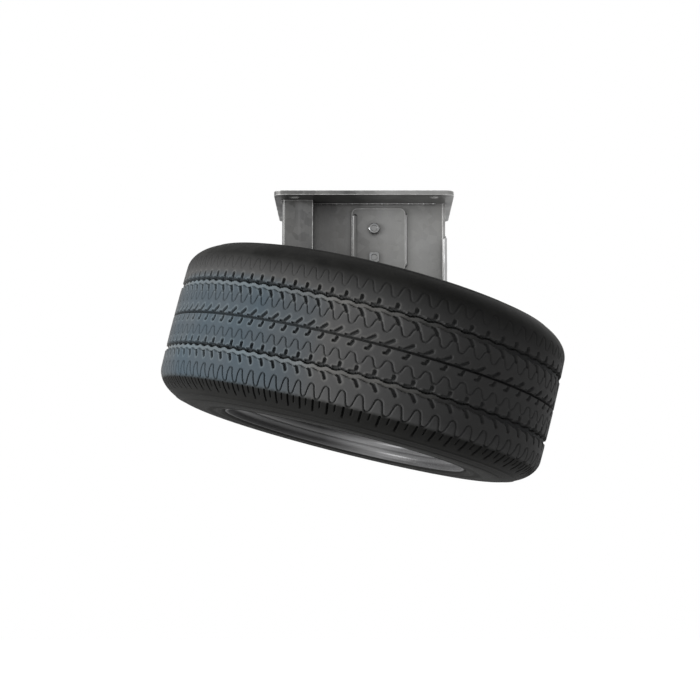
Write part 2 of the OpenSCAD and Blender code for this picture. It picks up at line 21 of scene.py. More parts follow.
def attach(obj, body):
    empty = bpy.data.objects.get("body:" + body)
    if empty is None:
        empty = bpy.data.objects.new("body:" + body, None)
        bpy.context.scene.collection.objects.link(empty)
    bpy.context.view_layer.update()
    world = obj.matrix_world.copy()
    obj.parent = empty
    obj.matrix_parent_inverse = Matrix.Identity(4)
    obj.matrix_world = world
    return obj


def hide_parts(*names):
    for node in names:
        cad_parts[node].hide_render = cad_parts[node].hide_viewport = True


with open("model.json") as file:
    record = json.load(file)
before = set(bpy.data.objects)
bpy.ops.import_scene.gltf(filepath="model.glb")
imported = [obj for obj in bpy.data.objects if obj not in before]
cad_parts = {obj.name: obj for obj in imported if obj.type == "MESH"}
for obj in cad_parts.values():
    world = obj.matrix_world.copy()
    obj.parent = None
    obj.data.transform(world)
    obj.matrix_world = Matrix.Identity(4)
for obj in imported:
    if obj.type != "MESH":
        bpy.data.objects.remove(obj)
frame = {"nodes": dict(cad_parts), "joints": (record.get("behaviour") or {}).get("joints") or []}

LOG = logging.getLogger("tyre_carrier")
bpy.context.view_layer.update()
MM = 0.001
TAU = 2 * math.pi
CREASE = 35.0
BEVEL_SLOPE = math.sqrt(3)
BEVEL_RINGS = 6
WAYS = (("front", -1), ("rear", 1))

Colour = tuple[float, float, float, float]
Point = tuple[float, float]
Place = tuple[float, float, float]
Inputs = dict[str | int, Any]
Socket = bpy.types.NodeSocket
Piece = bpy.types.Object

BLACK: Colour = (0.0, 0.0, 0.0, 1.0)
WHITE: Colour = (1.0, 1.0, 1.0, 1.0)


class Body(str, Enum):
    """The bodies that pieces ride on."""

    HANGER = "hanger"
    ARM = "arm"
    WHEEL = "wheel"
    SCREW = "screw"


class Slot(str, Enum):
    """The finishes that the record names."""

    GALVANISED = "galvanised_steel"
    ZINC = "zinc_plated_steel"
    SILVER = "wheel_silver"
    TYRE = "tyre_rubber"
    VALVE = "valve_rubber"
    PLASTIC = "black_plastic"


class Mark(str, Enum):
    """What the points of the tyre's tread carry for its finish, in the order of their rows."""

    RUN = "tread_run"
    SLOT = "tread_slot"
    FLOOR = "groove_floor"
    EDGE_HIGHLIGHT = "rubbed_edge"
    DUST_AND_LIGHT = "dusty_side"


def srgb(code: str) -> Colour:
    """Turns a screen colour into the linear colour that sockets take.

    Args:
        code: Six hexadecimal digits.

    Returns:
        Red, green, blue and alpha.
    """
    parts = [int(code[i:i + 2], 16) / 255 for i in (0, 2, 4)]
    red, green, sheen_mask = ((p + 0.055) ** 2.4 / 1.055 ** 2.4 if p > 0.04045 else p / 12.92 for p in parts)
    return red, green, sheen_mask, 1.0


def joint(name: str) -> dict[str, Any]:
    """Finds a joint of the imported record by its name."""
    return next(j for j in frame["joints"] if j["name"] == name)


def pivot_place() -> Matrix:
    """Gives the place of the pivot bolt, which runs along Y."""
    return Matrix.Translation(Vector(joint("arm_tilt")["pos_m"]))


def wheel_place() -> Matrix:
    """Gives the wheel's frame.

    Returns:
        A frame with its origin at the middle of the rim and Z up along the wheel's axis.
    """
    screw = joint("screw_turn")
    up = -Vector(screw["axis"]).normalized()
    across = Vector((0.0, 1.0, 0.0))
    place = Matrix((across.cross(up), across, up)).transposed().to_4x4()
    place.translation = Vector(screw["pos_m"])
    return place


# Meshes


class Skin:
    """A mesh made of closed rings of points, each joined to the next."""

    def __init__(self, rings: Iterable[np.ndarray]) -> None:
        """Joins rings.

        Args:
            rings: Points of each ring in order, in millimetres. Their number is that of the ring before,
                or a whole multiple or fraction of it.
        """
        self.points = list(rings)
        self.faces: list[list[int]] = []
        counts = [len(ring) for ring in self.points]
        self.rings = list(zip(np.cumsum([0, *counts[:-1]]).tolist(), counts))
        for a, b in zip(self.rings, self.rings[1:]):
            self.join(a, b)

    def join(self, a: tuple[int, int], b: tuple[int, int]) -> None:
        """Joins two rings with a band of faces.

        Args:
            a: First index and length of one ring.
            b: First index and length of the other ring.
        """
        count = min(a[1], b[1])
        step_a, step_b = a[1] // count, b[1] // count
        for i in range(count):
            near = [a[0] + (i * step_a + k) % a[1] for k in range(step_a + 1)]
            far = [b[0] + (i * step_b + k) % b[1] for k in range(step_b, -1, -1)]
            self.faces.append(near + far)

    def close(self) -> "Skin":
        """Joins the last ring to the first, and gives the skin."""
        self.join(self.rings[-1], self.rings[0])
        return self

    def cap(self) -> "Skin":
        """Closes the first and the last ring with a face each, and gives the skin."""
        self.faces += [list(range(start, start + count)) for start, count in (self.rings[0], self.rings[-1])]
        return self

    def object(self, name: str, place: Matrix, crease: float = CREASE) -> Piece:
        """Makes the mesh object, with its place in its mesh.

        Args:
            name: Name of the object.
            place: Frame that the points are given in.
            crease: Angle in degrees above which an edge stays sharp.

        Returns:
            The new object.
        """
        mesh = bpy.data.meshes.new(name)
        mesh.from_pydata(np.concatenate(self.points) * MM, [], self.faces)
        work = bmesh.new()
        work.from_mesh(mesh)
        bmesh.ops.recalc_face_normals(work, faces=work.faces)
        work.to_mesh(mesh)
        work.free()
        mesh.transform(place)
        mesh.shade_smooth()
        mesh.set_sharp_from_angle(angle=math.radians(crease))
        made = bpy.data.objects.new(name, mesh)
        bpy.context.scene.collection.objects.link(made)
        return made


def round_ring(radius: float | np.ndarray, height: float | np.ndarray, angles: np.ndarray) -> np.ndarray:
    """Gives the points of a ring about Z. Its radius and height may change with the angle."""
    return np.stack((radius * np.cos(angles), radius * np.sin(angles), height + 0 * angles), axis=1)


def cross_ring(radius: float | np.ndarray, along: float, angles: np.ndarray) -> np.ndarray:
    """Gives the points of a ring about Y."""
    return round_ring(radius, along, angles)[:, [0, 2, 1]]


def turns(count: int) -> np.ndarray:
    """Gives evenly spaced angles round a full turn."""
    return np.arange(count) * TAU / count


def arc(middle: Point, half: Point, ends: Point, count: int) -> list[Point]:
    """Gives points along a part of an ellipse.

    Args:
        middle: Middle of the ellipse.
        half: Its half axes.
        ends: First and last angle in degrees.
        count: Number of points.

    Returns:
        The points in order.
    """
    angles = np.radians(np.linspace(*ends, count))
    return [(middle[0] + half[0] * math.cos(a), middle[1] + half[1] * math.sin(a)) for a in angles]


def graded(stops: Sequence[float], step: float) -> np.ndarray:
    """Gives the stops, and between them evenly spaced values that are at most a step apart."""
    parts = [np.linspace(a, b, math.ceil((b - a) / step), endpoint=False) for a, b in zip(stops, stops[1:])]
    return np.concatenate([*parts, [stops[-1]]])


# Shader groups


class Graph:
    """A node tree, with short calls that add nodes and link them."""

    def __init__(self, tree: bpy.types.NodeTree) -> None:
        """Wraps a node tree."""
        self.tree = tree

    def add(self, kind: str, inputs: Inputs | None = None, **settings: Any) -> bpy.types.Node:
        """Adds a node.

        Args:
            kind: Name of the node's type.
            inputs: Sockets by name or number, each with a value or a socket to link.
            settings: Properties of the node.

        Returns:
            The new node.
        """
        node = self.tree.nodes.new(kind)
        for name, value in settings.items():
            setattr(node, name, value)
        self.wire(node, inputs or {})
        return node

    def wire(self, node: bpy.types.Node, inputs: Inputs) -> None:
        """Links sockets of a node to others, or sets their values.

        Args:
            node: Node to feed.
            inputs: Sockets by name or number, each with a value or a socket to link.
        """
        for name, value in inputs.items():
            if isinstance(value, Socket):
                self.tree.links.new(value, node.inputs[name])
            else:
                node.inputs[name].default_value = value

    def math(self, operation: str, a: Any, b: Any) -> Socket:
        """Works out one number from two."""
        return self.add("ShaderNodeMath", {0: a, 1: b}, operation=operation).outputs[0]

    def times(self, a: Any, b: Any) -> Socket:
        """Multiplies two numbers."""
        return self.math("MULTIPLY", a, b)

    def plus(self, a: Any, b: Any) -> Socket:
        """Adds two numbers."""
        return self.math("ADD", a, b)

    def span(self, value: Any, low: float, high: float, to_low: float = 0.0, to_high: float = 1.0) -> Socket:
        """Maps a value from the span low to high onto the span to_low to to_high, held at its ends."""
        return self.add("ShaderNodeMapRange", {0: value, 1: low, 2: high, 3: to_low, 4: to_high}).outputs[0]

    def mix(self, share: Any, a: Any, b: Any) -> Socket:
        """Mixes two colours by the share of the second."""
        return self.add("ShaderNodeMix", {0: share, 6: a, 7: b}, data_type="RGBA").outputs[2]

    def noise(self, where: Any, scale: Any, detail: float = 4.0, rough: float = 0.5) -> Socket:
        """Adds a noise, given its lumps in a metre, its finer layers and their strength."""
        inputs = {"Vector": where, "Scale": scale, "Detail": detail, "Roughness": rough}
        return self.add("ShaderNodeTexNoise", inputs).outputs[0]

    def cells(self, where: Any, scale: float) -> Socket:
        """Gives each cell of a crystal pattern a number of its own, given the cells in a metre."""
        pattern = self.add("ShaderNodeTexVoronoi", {"Vector": where, "Scale": scale})
        return self.add("ShaderNodeSeparateColor", {0: pattern.outputs["Color"]}).outputs[0]

    def bump(self, height: Any, depth: float, strength: float) -> Socket:
        """Turns a height over the surface into a normal, given the bump's depth in metres."""
        inputs = {"Height": height, "Distance": depth, "Strength": strength}
        return self.add("ShaderNodeBump", inputs).outputs[0]

    def place(self) -> Socket:
        """Gives the place on the object."""
        return self.add("ShaderNodeTexCoord").outputs["Object"]

    def normal(self) -> Socket:
        """Gives the surface's own normal."""
        return self.add("ShaderNodeNewGeometry").outputs["Normal"]

    def axis(self, vector: Socket, name: str) -> Socket:
        """Gives one part of a vector."""
        return self.add("ShaderNodeSeparateXYZ", {0: vector}).outputs[name]


class ShaderGroup:
    """An effect shared by several finishes, built once as a node group."""

    name: ClassVar[str]
    inputs: ClassVar[dict[str, float]]
    outputs: ClassVar[tuple[str, ...]] = ("Mask",)

    def tree(self) -> bpy.types.NodeTree:
        """Gives the group's node tree, and builds it the first time.

        Returns:
            The node tree.
        """
        made = bpy.data.node_groups.get(self.name)
        if made:
            return made
        made = bpy.data.node_groups.new(self.name, "ShaderNodeTree")
        for name, value in self.inputs.items():
            socket = made.interface.new_socket(name, in_out="INPUT", socket_type="NodeSocketFloat")
            socket.default_value = value
        for name in self.outputs:
            made.interface.new_socket(name, in_out="OUTPUT", socket_type="NodeSocketFloat")
        graph = Graph(made)
        results = self.fill(graph, graph.add("NodeGroupInput").outputs)
        graph.add("NodeGroupOutput", dict(zip(self.outputs, results)))
        return made

    def fill(self, graph: Graph, given: Any) -> Sequence[Socket]:
        """Builds the nodes from the group's inputs, and gives a socket for each output."""
        raise NotImplementedError

    def put(self, graph: Graph, **values: Any) -> Any:
        """Places the group in a graph.

        Args:
            graph: Graph to place it in.
            values: Values of its inputs, with low lines for the spaces in their names.

        Returns:
            Sockets of the group's outputs.
        """
        inputs = {name.replace("_", " "): value for name, value in values.items()}
        return graph.add("ShaderNodeGroup", inputs, node_tree=self.tree()).outputs

    def mask(self, graph: Graph, **values: Any) -> Socket:
        """Places a group that has a mask in a graph, and gives the mask."""
        return self.put(graph, **values)["Mask"]


class SurfaceGrain(ShaderGroup):
    """Broad patches and fine grain over a surface."""

    name = "surface_grain"
    inputs = {"Patch Scale": 12.0, "Grain Scale": 600.0}
    outputs = ("Patches", "Grain")

    def fill(self, graph: Graph, given: Any) -> Sequence[Socket]:
        """Builds a broad and a fine noise.

        Args:
            graph: The group's graph.
            given: Sockets of the group's inputs.

        Returns:
            The patches and the grain.
        """
        where = graph.place()
        patches = graph.noise(where, given["Patch Scale"], 5.0, 0.55)
        grain = graph.noise(where, given["Grain Scale"], 2.0, 0.6)
        return graph.span(patches, 0.3, 0.7), grain


class EdgeWear(ShaderGroup):
    """Rubbed edges: where a rounded copy of the surface turns away from it."""

    name = "edge_wear"
    inputs = {"Radius": 0.0015, "Breakup Scale": 160.0, "Amount": 1.0}

    def fill(self, graph: Graph, given: Any) -> Sequence[Socket]:
        """Builds the mask of the edges, broken up by a noise.

        Args:
            graph: The group's graph.
            given: Sockets of the group's inputs.

        Returns:
            The mask.
        """
        rounded = graph.add("ShaderNodeBevel", {"Radius": given["Radius"]}, samples=4).outputs[0]
        pair = {0: rounded, 1: graph.normal()}
        turn = graph.add("ShaderNodeVectorMath", pair, operation="DOT_PRODUCT").outputs["Value"]
        broken = graph.span(graph.noise(graph.place(), given["Breakup Scale"]), 0.3, 0.6, 0.35, 1.0)
        return (graph.times(graph.times(graph.span(turn, 0.995, 0.86), broken), given["Amount"]),)


class DustFilm(ShaderGroup):
    """Road dust that settles on faces that look up, in soft patches."""

    name = "dust_film"
    inputs = {"Amount": 0.5, "Patch Scale": 30.0}

    def fill(self, graph: Graph, given: Any) -> Sequence[Socket]:
        """Builds the mask of the dust.

        Args:
            graph: The group's graph.
            given: Sockets of the group's inputs.

        Returns:
            The mask.
        """
        settled = graph.span(graph.axis(graph.normal(), "Z"), -0.2, 0.9, 0.15, 1.0)
        patches = graph.span(graph.noise(graph.place(), given["Patch Scale"], 6.0, 0.6), 0.35, 0.7)
        return (graph.times(graph.times(settled, patches), given["Amount"]),)


class CreaseShadeAndGrime(ShaderGroup):
    """Painted shade with grime in corners, where the surface sees little around it."""

    name = "crease_shade_and_grime"
    inputs = {"Reach": 0.006, "Amount": 0.6}

    def fill(self, graph: Graph, given: Any) -> Sequence[Socket]:
        """Builds the mask of the corners, from the group's inputs."""
        # Painted shade: corners that see little around them are darkened as shade would fall there, together with
        # grime.
        seen = graph.add("ShaderNodeAmbientOcclusion", {"Distance": given["Reach"]}, samples=8).outputs["AO"]
        return (graph.times(graph.span(seen, 0.95, 0.45), given["Amount"]),)


# Finishes


@dataclass(frozen=True)
class Finish:
    """A surface finish, made into a material the first time it is used."""

    slot: ClassVar[Slot]
    kind: str = "finish"

    def material(self) -> bpy.types.Material:
        """Gives the finish's material.

        Returns:
            The material, built the first time.
        """
        name = f"{self.slot.value}_{self.kind}"
        made = bpy.data.materials.get(name)
        if made:
            return made
        made = bpy.data.materials.new(name)
        made.use_nodes = True
        made.node_tree.nodes.clear()
        graph = Graph(made.node_tree)
        shader = graph.add("ShaderNodeBsdfPrincipled")
        graph.add("ShaderNodeOutputMaterial", {"Surface": shader.outputs[0]})
        graph.wire(shader, self.paint(graph))
        return made

    def paint(self, graph: Graph) -> Inputs:
        """Builds the finish's nodes, and gives the inputs of the Principled BSDF."""
        raise NotImplementedError

    def dress(self, piece: Piece) -> None:
        """Puts the finish on a piece."""
        piece.data.materials.clear()
        piece.data.materials.append(self.material())


@dataclass(frozen=True)
class GalvanisedSteel(Finish):
    """Hot-dip zinc: crystal spangle, run marks, bright edges, a film of dust, grime with painted shade in the
    corners, and painted light that makes the steel darker towards -X and lighter towards +X.
    """

    slot: ClassVar[Slot] = Slot.GALVANISED
    dull: Colour = srgb("505050")
    bright: Colour = srgb("9f9f9e")
    oxide: Colour = srgb("a4a4a4")
    edge: Colour = srgb("e4e4e3")
    dust: Colour = srgb("8b8679")
    grime_and_shade: Colour = srgb("2b2a29")
    spangle_scale: float = 95.0
    spangle_bend: float = 0.004
    run_scale: Place = (60.0, 60.0, 5.0)
    painted_light_span: Point = (-0.015, 0.03)
    painted_light_tone: Point = (-0.06, 0.56)

    def paint(self, graph: Graph) -> Inputs:
        """Builds the spangle, the runs, the edges, the dust, the grime with painted shade, and the painted light
        along X.

        Args:
            graph: The material's graph.

        Returns:
            Inputs of the Principled BSDF.
        """
        where = graph.place()
        grain = SurfaceGrain().put(graph, Patch_Scale=9.0, Grain_Scale=420.0)
        shift = graph.times(grain["Grain"], self.spangle_bend)
        bent = graph.add("ShaderNodeVectorMath", {0: where, 1: shift}, operation="ADD").outputs[0]
        cell = graph.cells(bent, self.spangle_scale)
        drawn = graph.add("ShaderNodeMapping", {"Vector": where, "Scale": self.run_scale}).outputs[0]
        runs = graph.span(graph.noise(drawn, 1.0, 5.0, 0.6), 0.52, 0.72)
        tone = graph.plus(graph.times(cell, 0.2), graph.times(grain["Patches"], 0.3))
        # Painted light and shade: the steel is made darker towards -X, where the lip shades it, and lighter towards
        # +X.
        tone = graph.plus(tone, graph.span(graph.axis(where, "X"), *self.painted_light_span, *self.painted_light_tone))
        colour = graph.mix(tone, self.dull, self.bright)
        colour = graph.mix(graph.times(runs, 0.25), colour, self.oxide)
        edges = EdgeWear().mask(graph, Radius=0.002, Breakup_Scale=120.0, Amount=1.0)
        film = DustFilm().mask(graph, Amount=0.3, Patch_Scale=22.0)
        # Painted shade with grime, darkening the corners.
        corner_shade_and_grime = CreaseShadeAndGrime().mask(graph, Reach=0.007, Amount=0.4)
        colour = graph.mix(film, graph.mix(edges, colour, self.edge), self.dust)
        rough = graph.plus(graph.span(cell, 0.0, 1.0, 0.36, 0.5), graph.times(runs, 0.12))
        relief = graph.plus(graph.times(grain["Grain"], 0.5), graph.times(runs, 0.6))
        return {
            "Base Color": graph.mix(corner_shade_and_grime, colour, self.grime_and_shade),
            "Roughness": graph.plus(rough, graph.times(film, 0.3)),
            "Metallic": graph.span(film, 0.0, 0.5, 0.78, 0.2),
            "Normal": graph.bump(relief, 0.0004, 0.35),
        }


@dataclass(frozen=True)
class ZincPlate(Finish):
    """Bright zinc plating on turned and pressed steel, with fine rubbing marks."""

    slot: ClassVar[Slot] = Slot.ZINC
    base: Colour = srgb("8a8d91")
    warm: Colour = srgb("97938a")
    edge: Colour = srgb("c4c6c8")
    grime_and_shade: Colour = srgb("3b3835")

    def paint(self, graph: Graph) -> Inputs:
        """Builds the tinted plating, the rubbing marks and the grime, with painted shade in the corners.

        Args:
            graph: The material's graph.

        Returns:
            Inputs of the Principled BSDF.
        """
        grain = SurfaceGrain().put(graph, Patch_Scale=38.0, Grain_Scale=1500.0)
        film = DustFilm().mask(graph, Amount=0.35, Patch_Scale=60.0)
        edges = EdgeWear().mask(graph, Radius=0.0009, Breakup_Scale=260.0, Amount=0.7)
        # Painted shade with grime, darkening the corners.
        corner_shade_and_grime = CreaseShadeAndGrime().mask(graph, Reach=0.005, Amount=0.85)
        colour = graph.mix(graph.times(grain["Patches"], 0.6), self.base, self.warm)
        colour = graph.mix(edges, graph.mix(film, colour, self.grime_and_shade), self.edge)
        rough = graph.span(grain["Grain"], 0.3, 0.7, 0.26, 0.42)
        return {
            "Base Color": graph.mix(corner_shade_and_grime, colour, self.grime_and_shade),
            "Roughness": graph.plus(rough, graph.times(film, 0.4)),
            "Metallic": graph.span(film, 0.0, 0.6, 0.95, 0.4),
            "Normal": graph.bump(grain["Grain"], 0.0001, 0.25),
        }


@dataclass(frozen=True)
class WheelSilver(Finish):
    """Silver wheel paint with metal flake and road stains, with painted shade towards -X and a painted lighter patch
    towards +X.
    """

    slot: ClassVar[Slot] = Slot.SILVER
    base: Colour = srgb("676768")
    shade: Colour = srgb("535354")
    painted_light: Colour = srgb("858586")
    stain: Colour = srgb("5c5650")
    painted_shade: Colour = srgb("3a3a3b")
    edge: Colour = srgb("c9cbcd")
    flake_scale: float = 2600.0
    painted_shade_span: Point = (0.02, -0.04)
    painted_light_from: Point = (-0.06, 0.0)
    painted_light_to: Point = (0.055, 0.025)
    rough: Point = (0.34, 0.62)
    coat: float = 0.08

    def paint(self, graph: Graph) -> Inputs:
        """Builds the flake, the darker patches, the painted shade towards -X, the painted lighter patch and the road
        stains.

        Args:
            graph: The material's graph.

        Returns:
            Inputs of the Principled BSDF.
        """
        where = graph.place()
        grain = SurfaceGrain().put(graph, Patch_Scale=14.0, Grain_Scale=900.0)
        spark = graph.cells(where, self.flake_scale)
        edges = EdgeWear().mask(graph, Radius=0.0014, Breakup_Scale=140.0, Amount=0.12)
        film = DustFilm().mask(graph, Amount=0.4, Patch_Scale=26.0)
        along = graph.axis(where, "X")
        # Painted light: a lighter patch on the rim, full from X 0 to 0.025 m and fading out by -0.06 and 0.055 m.
        painted_light_mask = graph.times(graph.span(along, *self.painted_light_from), graph.span(along, *self.painted_light_to))
        colour = graph.mix(grain["Patches"], self.base, self.shade)
        colour = graph.mix(graph.span(spark, 0.75, 1.0, 0.0, 0.35), colour, self.edge)
        colour = graph.mix(edges, colour, self.edge)
        # Painted shade: the paint is darkened towards -X.
        colour = graph.mix(graph.span(along, *self.painted_shade_span, 0.0, 0.9), colour, self.painted_shade)
        colour = graph.mix(painted_light_mask, colour, self.painted_light)
        return {
            "Base Color": graph.mix(film, colour, self.stain),
            "Roughness": graph.span(film, 0.0, 0.5, *self.rough),
            "Metallic": graph.span(spark, 0.0, 1.0, 0.15, 0.35),
            "Coat Weight": self.coat,
            "Coat Roughness": 0.2,
            "Normal": graph.bump(grain["Grain"], 0.00012, 0.2),
        }


@dataclass(frozen=True)
class TyreRubber(Finish):
    """Tyre rubber: grey where the tread has run, pale where grooves hold dust, dark in the slots; on the side turned
    to the key lamp painted light makes the tread lighter, with a painted blue sheen, and painted highlights edge the
    slots.
    """

    slot: ClassVar[Slot] = Slot.TYRE
    base: Colour = srgb("212120")
    worn: Colour = srgb("595959")
    lit_tread: Colour = srgb("636363")
    bloom_and_sheen: Colour = srgb("4e5b64")
    # Dust colour with the bluish tint of the painted sheen.
    dust: Colour = srgb("7b8a92")
    clay: Colour = srgb("969592")
    floor: Colour = srgb("3d3e3f")
    shade: Colour = srgb("474848")
    black: Colour = srgb("1e1f1f")

    def paint(self, graph: Graph) -> Inputs:
        """Builds the worn tread, the dusty grooves, the slots, the painted light, sheen and highlights, and the
        rubber's grain.

        Args:
            graph: The material's graph.

        Returns:
            Inputs of the Principled BSDF.
        """
        grain = SurfaceGrain().put(graph, Patch_Scale=16.0, Grain_Scale=850.0)
        film = DustFilm().mask(graph, Amount=0.1, Patch_Scale=24.0)
        run, slot, floor, edge_highlight, dust_and_light = (
            graph.add("ShaderNodeAttribute", attribute_name=mark.value).outputs["Fac"] for mark in Mark)
        patchy = graph.span(grain["Patches"], 0.0, 1.0, 1.0, 0.6)
        # Painted sheen: a bluish sky sheen on the lit side, on the tread and in its dust.
        sheen_mask = graph.times(graph.span(dust_and_light, 0.9, 0.958), patchy)
        dust = graph.mix(sheen_mask, self.clay, self.dust)
        # Painted light: the worn tread is lighter on the side turned to the key lamp.
        tread = graph.mix(graph.span(dust_and_light, 0.6, 0.88), self.worn, self.lit_tread)
        tread = graph.mix(sheen_mask, tread, self.bloom_and_sheen)
        # Painted highlight along the slots' edges, in the dust colour.
        tread = graph.mix(graph.times(edge_highlight, graph.span(dust_and_light, 0.6, 1.0, 0.03, 0.46)), tread, dust)
        colour = graph.mix(film, graph.mix(run, self.base, tread), dust)
        # Groove floors: dust on the lit side and the dark floor colour on the shaded side, painted light and dust
        # together.
        colour = graph.mix(floor, colour, graph.mix(graph.times(dust_and_light, patchy), self.floor, dust))
        # Painted light: the slots are black on the lit side and a lighter grey on the shaded side.
        inside = graph.mix(graph.span(dust_and_light, 0.85, 0.97), self.shade, self.black)
        return {
            "Base Color": graph.mix(slot, colour, graph.mix(run, self.black, inside)),
            "Roughness": graph.span(grain["Grain"], 0.3, 0.7, 0.7, 0.85),
            "Specular IOR Level": 0.1,
            "Normal": graph.bump(grain["Grain"], 0.0003, 0.3),
        }


@dataclass(frozen=True)
class ValveRubber(Finish):
    """Smooth moulded rubber of the valve body."""

    slot: ClassVar[Slot] = Slot.VALVE
    base: Colour = srgb("232324")
    bloom_and_sheen: Colour = srgb("3d3c3b")

    def paint(self, graph: Graph) -> Inputs:
        """Builds the bloom and the grain.

        Args:
            graph: The material's graph.

        Returns:
            Inputs of the Principled BSDF.
        """
        grain = SurfaceGrain().put(graph, Patch_Scale=120.0, Grain_Scale=1400.0)
        return {
            "Base Color": graph.mix(grain["Patches"], self.base, self.bloom_and_sheen),
            "Roughness": graph.span(grain["Grain"], 0.3, 0.7, 0.5, 0.68),
            "Normal": graph.bump(grain["Grain"], 0.0002, 0.25),
        }


@dataclass(frozen=True)
class BlackPlastic(Finish):
    """Black moulded plastic with a fine matt texture and scuffed edges."""

    slot: ClassVar[Slot] = Slot.PLASTIC
    base: Colour = srgb("1d1d1f")
    scuff: Colour = srgb("47474a")

    def paint(self, graph: Graph) -> Inputs:
        """Builds the texture and the scuffs.

        Args:
            graph: The material's graph.

        Returns:
            Inputs of the Principled BSDF.
        """
        grain = SurfaceGrain().put(graph, Patch_Scale=70.0, Grain_Scale=1800.0)
        edges = EdgeWear().mask(graph, Radius=0.0012, Breakup_Scale=300.0, Amount=0.5)
        scuffs = graph.math("MAXIMUM", edges, graph.times(grain["Patches"], 0.18))
        return {
            "Base Color": graph.mix(scuffs, self.base, self.scuff),
            "Roughness": graph.span(grain["Grain"], 0.3, 0.7, 0.38, 0.55),
            "Normal": graph.bump(grain["Grain"], 0.0002, 0.3),
        }


GALVANISED, ZINC, SILVER = GalvanisedSteel(), ZincPlate(), WheelSilver()
TYRE, VALVE, PLASTIC = TyreRubber(), ValveRubber(), BlackPlastic()
# The lips take a lighter painted shade and no coat.
DULL_LIP = WheelSilver(kind="lip", painted_shade=srgb("5a5a5b"), rough=(0.75, 0.85), coat=0.0)
# A lighter copy of the galvanised steel: a painted highlight for the beads that catch the key lamp.
PAINTED_HIGHLIGHT_STEEL = GalvanisedSteel(kind="edge", dull=srgb("a5a5a5"), bright=srgb("c6c6c6"))


class Assembly:
    """A sub-assembly: the CAD nodes that it keeps and the pieces that it makes."""

    body: ClassVar[Body]

    def build(self) -> None:
        """Makes the sub-assembly's pieces and dresses its nodes."""
        raise NotImplementedError

    def keep(self, finish: Finish, *nodes: str) -> None:
        """Gives CAD nodes their finish.

        Args:
            finish: Finish of the nodes.
            nodes: Names of the nodes.
        """
        for name in nodes:
            finish.dress(frame["nodes"][name])
            LOG.info("%s keeps its solid, in %s", name, finish.slot.value)

    def fit(self, piece: Piece, finish: Finish, *nodes: str) -> None:
        """Puts a new piece on the sub-assembly's body.

        Args:
            piece: The new piece, in place.
            finish: Its finish.
            nodes: CAD nodes that it stands for.
        """
        finish.dress(piece)
        if nodes:
            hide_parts(*nodes)
        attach(piece, self.body.value)
        LOG.info("%s rides on %s with %d faces", piece.name, self.body.value, len(piece.data.polygons))


# Tyre


@dataclass(frozen=True)
class Cut:
    """A narrow slot in one pitch of the tread, in pitches round the tyre and millimetres across it."""

    start: Point
    end: Point
    width: float
    depth: float

    def moved(self, turn: float, across: float) -> "Cut":
        """Gives a copy of the slot, shifted round and across the tyre."""
        start, end = ((t + turn, a + across) for t, a in (self.start, self.end))
        return Cut(start, end, self.width, self.depth)

    def outside(self, points: np.ndarray, pitch: float) -> np.ndarray:
        """Gives how far points lie outside the slot or its copies in the next pitches.

        Args:
            points: Places round and across the tyre, in millimetres.
            pitch: Length of a pitch.

        Returns:
            Distances in millimetres, below 0 inside the slot.
        """
        found = np.full(len(points), np.inf)
        for lap in (-1, 0, 1):
            a, b = (np.array([(turn + lap) * pitch, across]) for turn, across in (self.start, self.end))
            share = np.clip((points - a) @ (b - a) / ((b - a) @ (b - a)), 0, 1)
            found = np.minimum(found, np.linalg.norm(points - a - share[:, None] * (b - a), axis=1))
        return found - self.width / 2


